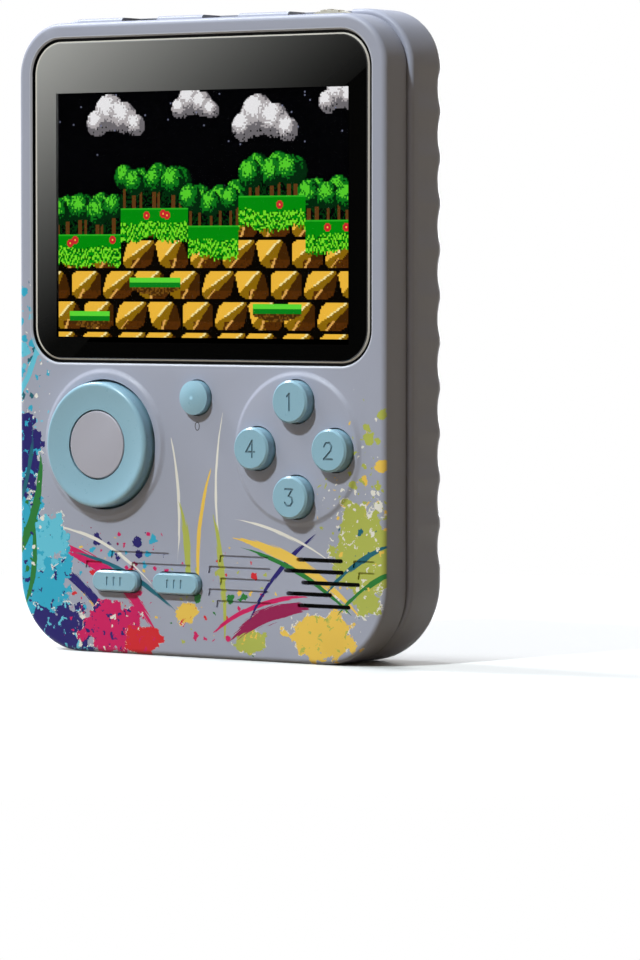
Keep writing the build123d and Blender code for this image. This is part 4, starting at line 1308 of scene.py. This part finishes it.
    def ledge(self, left: float, right: float, height: float) -> None:
        """A floating ledge with moss on top and soil below.

        Args:
            left, right, height: Its place as shares of the picture's width and height.
        """
        x0, x1, y0 = left * self.across, right * self.across, height * self.down
        sag = 7 + 4 * np.sin((self.column - x0) / (x1 - x0) * math.pi)
        box = (self.column >= x0) & (self.column < x1) & (self.row >= y0) & (self.row < y0 + sag)
        self.fill(box, Paint.SOIL)
        self.fill(box & (self.speckle < 0.4), Paint.SOIL_LIGHT)
        self.fill(box & (self.row < y0 + 6), Paint.MOSS)
        self.fill(box & (self.row < y0 + 3), Paint.MOSS_LIGHT)

    def flowers(self, height: float, count: int = 9) -> None:
        """Small red flowers with yellow hearts, spaced unevenly along the grass.

        Args:
            height: Their height as a share of the picture's height.
            count: How many there are.
        """
        for place in self.random.random(count):
            x = int(4 + place * (self.across - 8))
            y = int(height * self.down + self.level[x] + 3 * self.random.random())
            near = np.hypot(self.column - x, self.row - y)
            self.fill(near < 2.3, Paint.PETAL)
            self.fill(near < 0.8, Paint.HEART)

    def draw(self) -> None:
        """Lays the scene from back to front."""
        self.stars()
        for cloud in self.clouds:
            self.cloud(*cloud)
        self.trees(0.3, 0.52)
        self.wall(0.59)
        self.lawn(0.5, 0.6)
        for ledge in self.ledges:
            self.ledge(*ledge)
        self.flowers(0.52)

    def build(self) -> list[bpy.types.Object]:
        """Lays the picture on the front of the display panel.

        Returns:
            The one new piece, a face a dot, with its colours as a mesh attribute.
        """
        self.draw()
        low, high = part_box("display_panel")
        grid = np.zeros((self.down + 1, self.across + 1, 3))
        xs = np.linspace(low.x + self.margin, high.x - self.margin, self.across + 1)
        zs = np.linspace(high.z - self.margin, low.z + self.margin, self.down + 1)
        grid[..., 0] = xs[None, :]
        grid[..., 1] = low.y - self.lift
        grid[..., 2] = zs[:, None]
        index = np.arange(grid.shape[0] * grid.shape[1]).reshape(grid.shape[:2])
        faces = np.stack([index[1:, :-1], index[1:, 1:], index[:-1, 1:], index[:-1, :-1]], -1)
        piece = new_piece("screen_picture", grid.reshape(-1, 3).tolist(),
                          faces.reshape(-1, 4).tolist())
        colours = piece.data.color_attributes.new(PICTURE.attribute, "FLOAT_COLOR", "CORNER")
        colours.data.foreach_set("color", np.repeat(self.dots.reshape(-1, 4), 4, axis=0).ravel())
        return [settle(piece, Body.CONSOLE, PICTURE)]


@dataclass
class SmallParts:
    """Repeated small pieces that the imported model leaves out."""

    leg_pitch: float = 1.27 * MM
    leg_width: float = 0.45 * MM
    leg_thick: float = 0.2 * MM
    leg_reach: float = 0.8 * MM
    contact_count: int = 4
    contact_lift: float = 0.03 * MM
    contact_width: float = 0.55
    contact_length: float = 0.6
    contact_drop: float = 0.7
    ring_bores: tuple[tuple[str, float], ...] = (("av_jack", 1.8 * MM), ("gamepad_jack", 1.3 * MM))
    ring_wall: float = 0.45 * MM
    ring_depth: float = 0.8 * MM
    ring_lift: float = 0.04 * MM
    ring_steps: int = 64
    tree: GeometryTree = field(init=False, repr=False)

    def row(self, name: str, count: int, start: Point, step: Point, size: Point, finish: Finish,
            slot: Slot) -> bpy.types.Object:
        """Sets one row of equal blocks.

        Args:
            name: The piece's name.
            count: How many blocks there are.
            start, step, size: The first block's middle, the way to the next and a block's size.
            finish: The finish of the blocks.
            slot: Not used.

        Returns:
            The row as one piece.
        """
        piece = new_piece(name)
        self.tree.put_on(piece, {"Count": count, "Start": start, "Step": step, "Size": size,
                                 "Finish": finish.material()})
        return settle(realised(piece), Body.CONSOLE)

    def chip_legs(self, node: str) -> list[bpy.types.Object]:
        """Sets the legs along the upper and the lower edge of a chip.

        Args:
            node: The chip's node.

        Returns:
            Both rows.
        """
        low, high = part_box(node)
        count = int((high.x - low.x - self.leg_width) / self.leg_pitch) + 1
        first = (low.x + high.x) / 2 - self.leg_pitch * (count - 1) / 2
        size = (self.leg_width, self.leg_thick, self.leg_reach)
        edges = (("lower", low.z - self.leg_reach / 2), ("upper", high.z + self.leg_reach / 2))
        return [self.row(f"{node}_{side}_legs", count, (first, low.y + self.leg_thick / 2, edge),
                         (self.leg_pitch, 0, 0), size, CAN, Slot.CAN) for side, edge in edges]

    def port_contacts(self) -> list[bpy.types.Object]:
        """Sets the gilt contacts on the front and the back of the port's tongue.

        Returns:
            Both rows.
        """
        low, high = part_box("usb_tongue")
        pitch = (high.x - low.x) / (self.contact_count + 1)
        length = (high.z - low.z) * self.contact_length
        size = (pitch * self.contact_width, self.contact_lift, length)
        height = high.z - length * self.contact_drop
        return [self.row(f"usb_contacts_{side}", self.contact_count, (low.x + pitch, depth, height),
                         (pitch, 0, 0), size, CONTACT, Slot.CONTACT)
                for side, depth in (("front", low.y), ("back", high.y))]

    def jack_ring(self, node: str, bore: float) -> bpy.types.Object:
        """Turns the bright ring in the mouth of a jack.

        Args:
            node: The jack's node.
            bore: The inner radius of the ring.

        Returns:
            The ring.
        """
        low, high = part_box(node)
        y, z = (low.y + high.y) / 2, (low.z + high.z) / 2
        outer = bore + self.ring_wall
        profile = ((bore, -self.ring_lift / 2), (bore + self.ring_wall / 2, -self.ring_lift),
                   (outer, 0.0), (outer, self.ring_depth), (bore, self.ring_depth))
        loops = [[(low.x + along, y + radius * cosine, z + radius * sine)
                  for cosine, sine in circle(self.ring_steps)] for radius, along in profile]
        piece = closed_ring(f"{node}_ring", loops)
        piece.data.shade_smooth()
        return settle(piece, Body.CONSOLE, JACK_RING)

    def build(self) -> list[bpy.types.Object]:
        """Builds every row and ring.

        Returns:
            The new pieces.
        """
        self.tree = row_tree()
        return [*self.chip_legs("processor"), *self.chip_legs("memory_chip"),
                *self.port_contacts(),
                *(self.jack_ring(node, bore) for node, bore in self.ring_bores)]


@dataclass
class PrintedMark:
    """A small printed nought under the reset key."""

    key_radius: float = 3.0 * MM
    drop: float = 2.0 * MM
    width: float = 0.55 * MM
    height: float = 0.8 * MM
    stroke: float = 0.2 * MM
    lift: float = 0.015 * MM
    steps: int = 48

    def build(self) -> list[bpy.types.Object]:
        """Draws the nought as a flat ring on the front face.

        Returns:
            The one new piece.
        """
        low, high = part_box("reset_button")
        x = (low.x + high.x) / 2
        z = (low.z + high.z) / 2 - self.key_radius - self.drop
        face_y = PRINTED_CASE.face_y * MM
        insets = ((0.0, 0.0), (self.stroke, 0.0), (self.stroke, self.lift), (0.0, self.lift))
        loops = [[(x + (self.width - inset) * cosine, face_y - depth,
                   z + (self.height - inset) * sine) for cosine, sine in circle(self.steps)]
                 for inset, depth in insets]
        return [settle(closed_ring("reset_mark", loops), Body.CONSOLE, MARK_INK)]


def look(thing: bpy.types.Object, way: Vector) -> None:
    """Turns a lamp or a camera so that it faces one way."""
    thing.rotation_mode = "QUATERNION"
    thing.rotation_quaternion = way.to_track_quat("-Z", "Y")


@dataclass(frozen=True)
class Lamp:
    """One far lamp: the way of its light, its strength, its width in degrees and its colour."""

    name: str
    way: Point
    strength: float
    width: float
    colour: Point = (0.94, 0.98, 1.0)

    def build(self) -> None:
        """Hangs the lamp."""
        data = bpy.data.lights.new(self.name, "SUN")
        data.energy = self.strength
        data.angle = math.radians(self.width)
        data.color = self.colour
        look(new_object(self.name, data), Vector(self.way))


@dataclass
class Studio:
    """The floor, the lamps, the card that the window mirrors, and the camera of the photograph."""

    turn: float = 36.9
    eye_height: float = 68.2 * MM
    distance: float = 854.0 * MM
    focal_px: float = 4876.0
    aim_px: Pair = (197.2, 269.0)
    frame_px: tuple[int, int] = (640, 960)
    sensor: float = 36.0
    clip: Pair = (0.01, 50.0)
    face_y: float = PRINTED_CASE.face_y * MM
    lamps: tuple[Lamp, ...] = (
        Lamp("key_lamp", (0.16, 0.66, -0.74), 2.85, 4.0, (0.9, 0.985, 1.0)),
        Lamp("top_lamp", (0.85, 0.04, -1.0), 3.1, 16.0),
        Lamp("back_lamp", (0.35, -0.93, 0.0), 1.6, 16.0))
    fill: Colour = (0.46, 0.36, 0.26, 1.0)
    shade: Colour = (0.05, 0.028, 0.0, 1.0)
    shade_span: Pair = (-0.1, 0.5)
    ceiling: Colour = (0.36, 0.4, 0.48, 1.0)
    ceiling_span: Pair = (0.35, 0.95)
    ceiling_lean: float = 0.5
    floor_size: float = 6.0
    floor_fade: Pair = (0.06, 0.24)
    floor_pale: Colour = (0.93, 0.93, 0.93, 1.0)
    floor_dim: Colour = (0.14, 0.1, 0.045, 1.0)
    floor_roughness: float = 0.3
    floor_specular: float = 0.3
    card_reach: float = 0.6
    card_half: Pair = (0.13, 0.14)

    def axes(self) -> tuple[Vector, Vector]:
        """The level way that the camera looks, and the way to its right."""
        turn = math.radians(self.turn)
        towards = Vector((-math.sin(turn), math.cos(turn), 0))
        return towards, Vector((towards.y, -towards.x, 0))

    def camera(self) -> None:
        """Stands the camera where the photograph was taken from."""
        towards, right = self.axes()
        data = bpy.data.cameras.new("camera")
        data.sensor_width = self.sensor
        data.lens = self.focal_px * self.sensor / max(self.frame_px)
        data.clip_start, data.clip_end = self.clip
        camera = new_object("camera", data)
        camera.location = Vector((0, self.face_y, self.eye_height)) - towards * self.distance
        across = self.frame_px[0] / 2 - self.aim_px[0]
        below = self.frame_px[1] / 2 - self.aim_px[1]
        look(camera, towards * self.focal_px + right * across - Vector((0, 0, below)))
        bpy.context.scene.camera = camera

    def seen(self, graph: Graph) -> Socket:
        """1 for rays that see a surface directly, in a mirror or through glass, and 0 for light.

        Args:
            graph: The graph to add to.

        Returns:
            The mask.
        """
        path = graph.add("ShaderNodeLightPath").outputs
        first = graph.math("MAXIMUM", path["Is Camera Ray"], path["Is Glossy Ray"])
        return graph.math("MAXIMUM", first, path["Is Transmission Ray"])

    def world(self) -> None:
        """A white room for the eye, which lights with a cool ceiling and a dim, warm right side.

        The ceiling's light leans to the left.
        """
        world = bpy.data.worlds.new("world")
        world.use_nodes = True
        world.node_tree.nodes.clear()
        graph = Graph(world.node_tree)
        way = graph.parts(graph.coordinates("Generated"))
        side = graph.smooth(way["X"], *self.shade_span)
        leaning = graph.math("MULTIPLY_ADD", way["X"], -self.ceiling_lean, way["Z"])
        above = graph.smooth(leaning, *self.ceiling_span)
        colour = graph.blend(above, graph.blend(side, self.fill, self.shade), self.ceiling)
        light = graph.add("ShaderNodeBackground", {"Color": colour, "Strength": 1.0})
        white = graph.add("ShaderNodeBackground", {"Color": WHITE, "Strength": 1.0})
        both = graph.add("ShaderNodeMixShader", {
            0: self.seen(graph), 1: light.outputs[0], 2: white.outputs[0]})
        graph.add("ShaderNodeOutputWorld", {"Surface": both.outputs[0]})
        bpy.context.scene.world = world

    def floor(self) -> bpy.types.Object:
        """A pale floor that turns into plain white away from the object.

        Returns:
            The floor.
        """
        half = self.floor_size / 2
        floor = new_piece("floor", [(-half, -half, 0), (half, -half, 0), (half, half, 0),
                                    (-half, half, 0)], [(0, 1, 2, 3)])
        made, graph = new_material("floor")
        far = graph.smooth(graph.vector("LENGTH", graph.coordinates("Object")), *self.floor_fade)
        surface = graph.add("ShaderNodeBsdfPrincipled", {
            "Base Color": graph.blend(self.seen(graph), self.floor_dim, self.floor_pale),
            "Roughness": self.floor_roughness, "Specular IOR Level": self.floor_specular})
        glow = graph.add("ShaderNodeEmission", {"Color": WHITE, "Strength": 1.0})
        share = graph.math("MULTIPLY", self.seen(graph), far)
        both = graph.add("ShaderNodeMixShader", {
            0: share, 1: surface.outputs[0], 2: glow.outputs[0]})
        graph.add("ShaderNodeOutputMaterial", {"Surface": both.outputs[0]})
        floor.data.materials.append(made)
        return floor

    def mirror_card(self) -> bpy.types.Object:
        """A black card at the front left, seen only in gloss, which keeps the window black.

        Returns:
            The card.
        """
        mirrored = Vector((1, -1, 1))
        towards, right = (axis * mirrored for axis in self.axes())
        middle = Vector((0, self.face_y, self.eye_height)) + towards * self.card_reach
        across, up = right * self.card_half[0], Vector((0, 0, self.card_half[1]))
        places = [middle + across * side + up * rise
                  for side, rise in ((-1, -1), (1, -1), (1, 1), (-1, 1))]
        card = new_piece("mirror_card", [tuple(place) for place in places], [(0, 1, 2, 3)])
        card.data.materials.append(CARD.material())
        card.visible_camera = False
        card.visible_diffuse = False
        card.visible_shadow = False
        return card

    def build(self) -> list[bpy.types.Object]:
        """Sets up the whole studio.

        Returns:
            The floor and the card.
        """
        bpy.context.scene.view_settings.view_transform = "Standard"
        self.camera()
        for lamp in self.lamps:
            lamp.build()
        self.world()
        return [self.floor(), self.mirror_card()]


def main() -> None:
    """Builds the console's looks and its studio, and reports each piece."""
    logging.basicConfig(level=logging.INFO, format="%(message)s")
    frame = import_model()
    for assembly in (Casing(frame["nodes"]), Picture(), SmallParts(), PrintedMark(), Studio()):
        for piece in assembly.build():
            faces = len(piece.data.polygons)
            LOG.info("%s: %s, %d faces", type(assembly).__name__, piece.name, faces)
    bpy.context.view_layer.update()


if __name__ == "__main__":
    main()
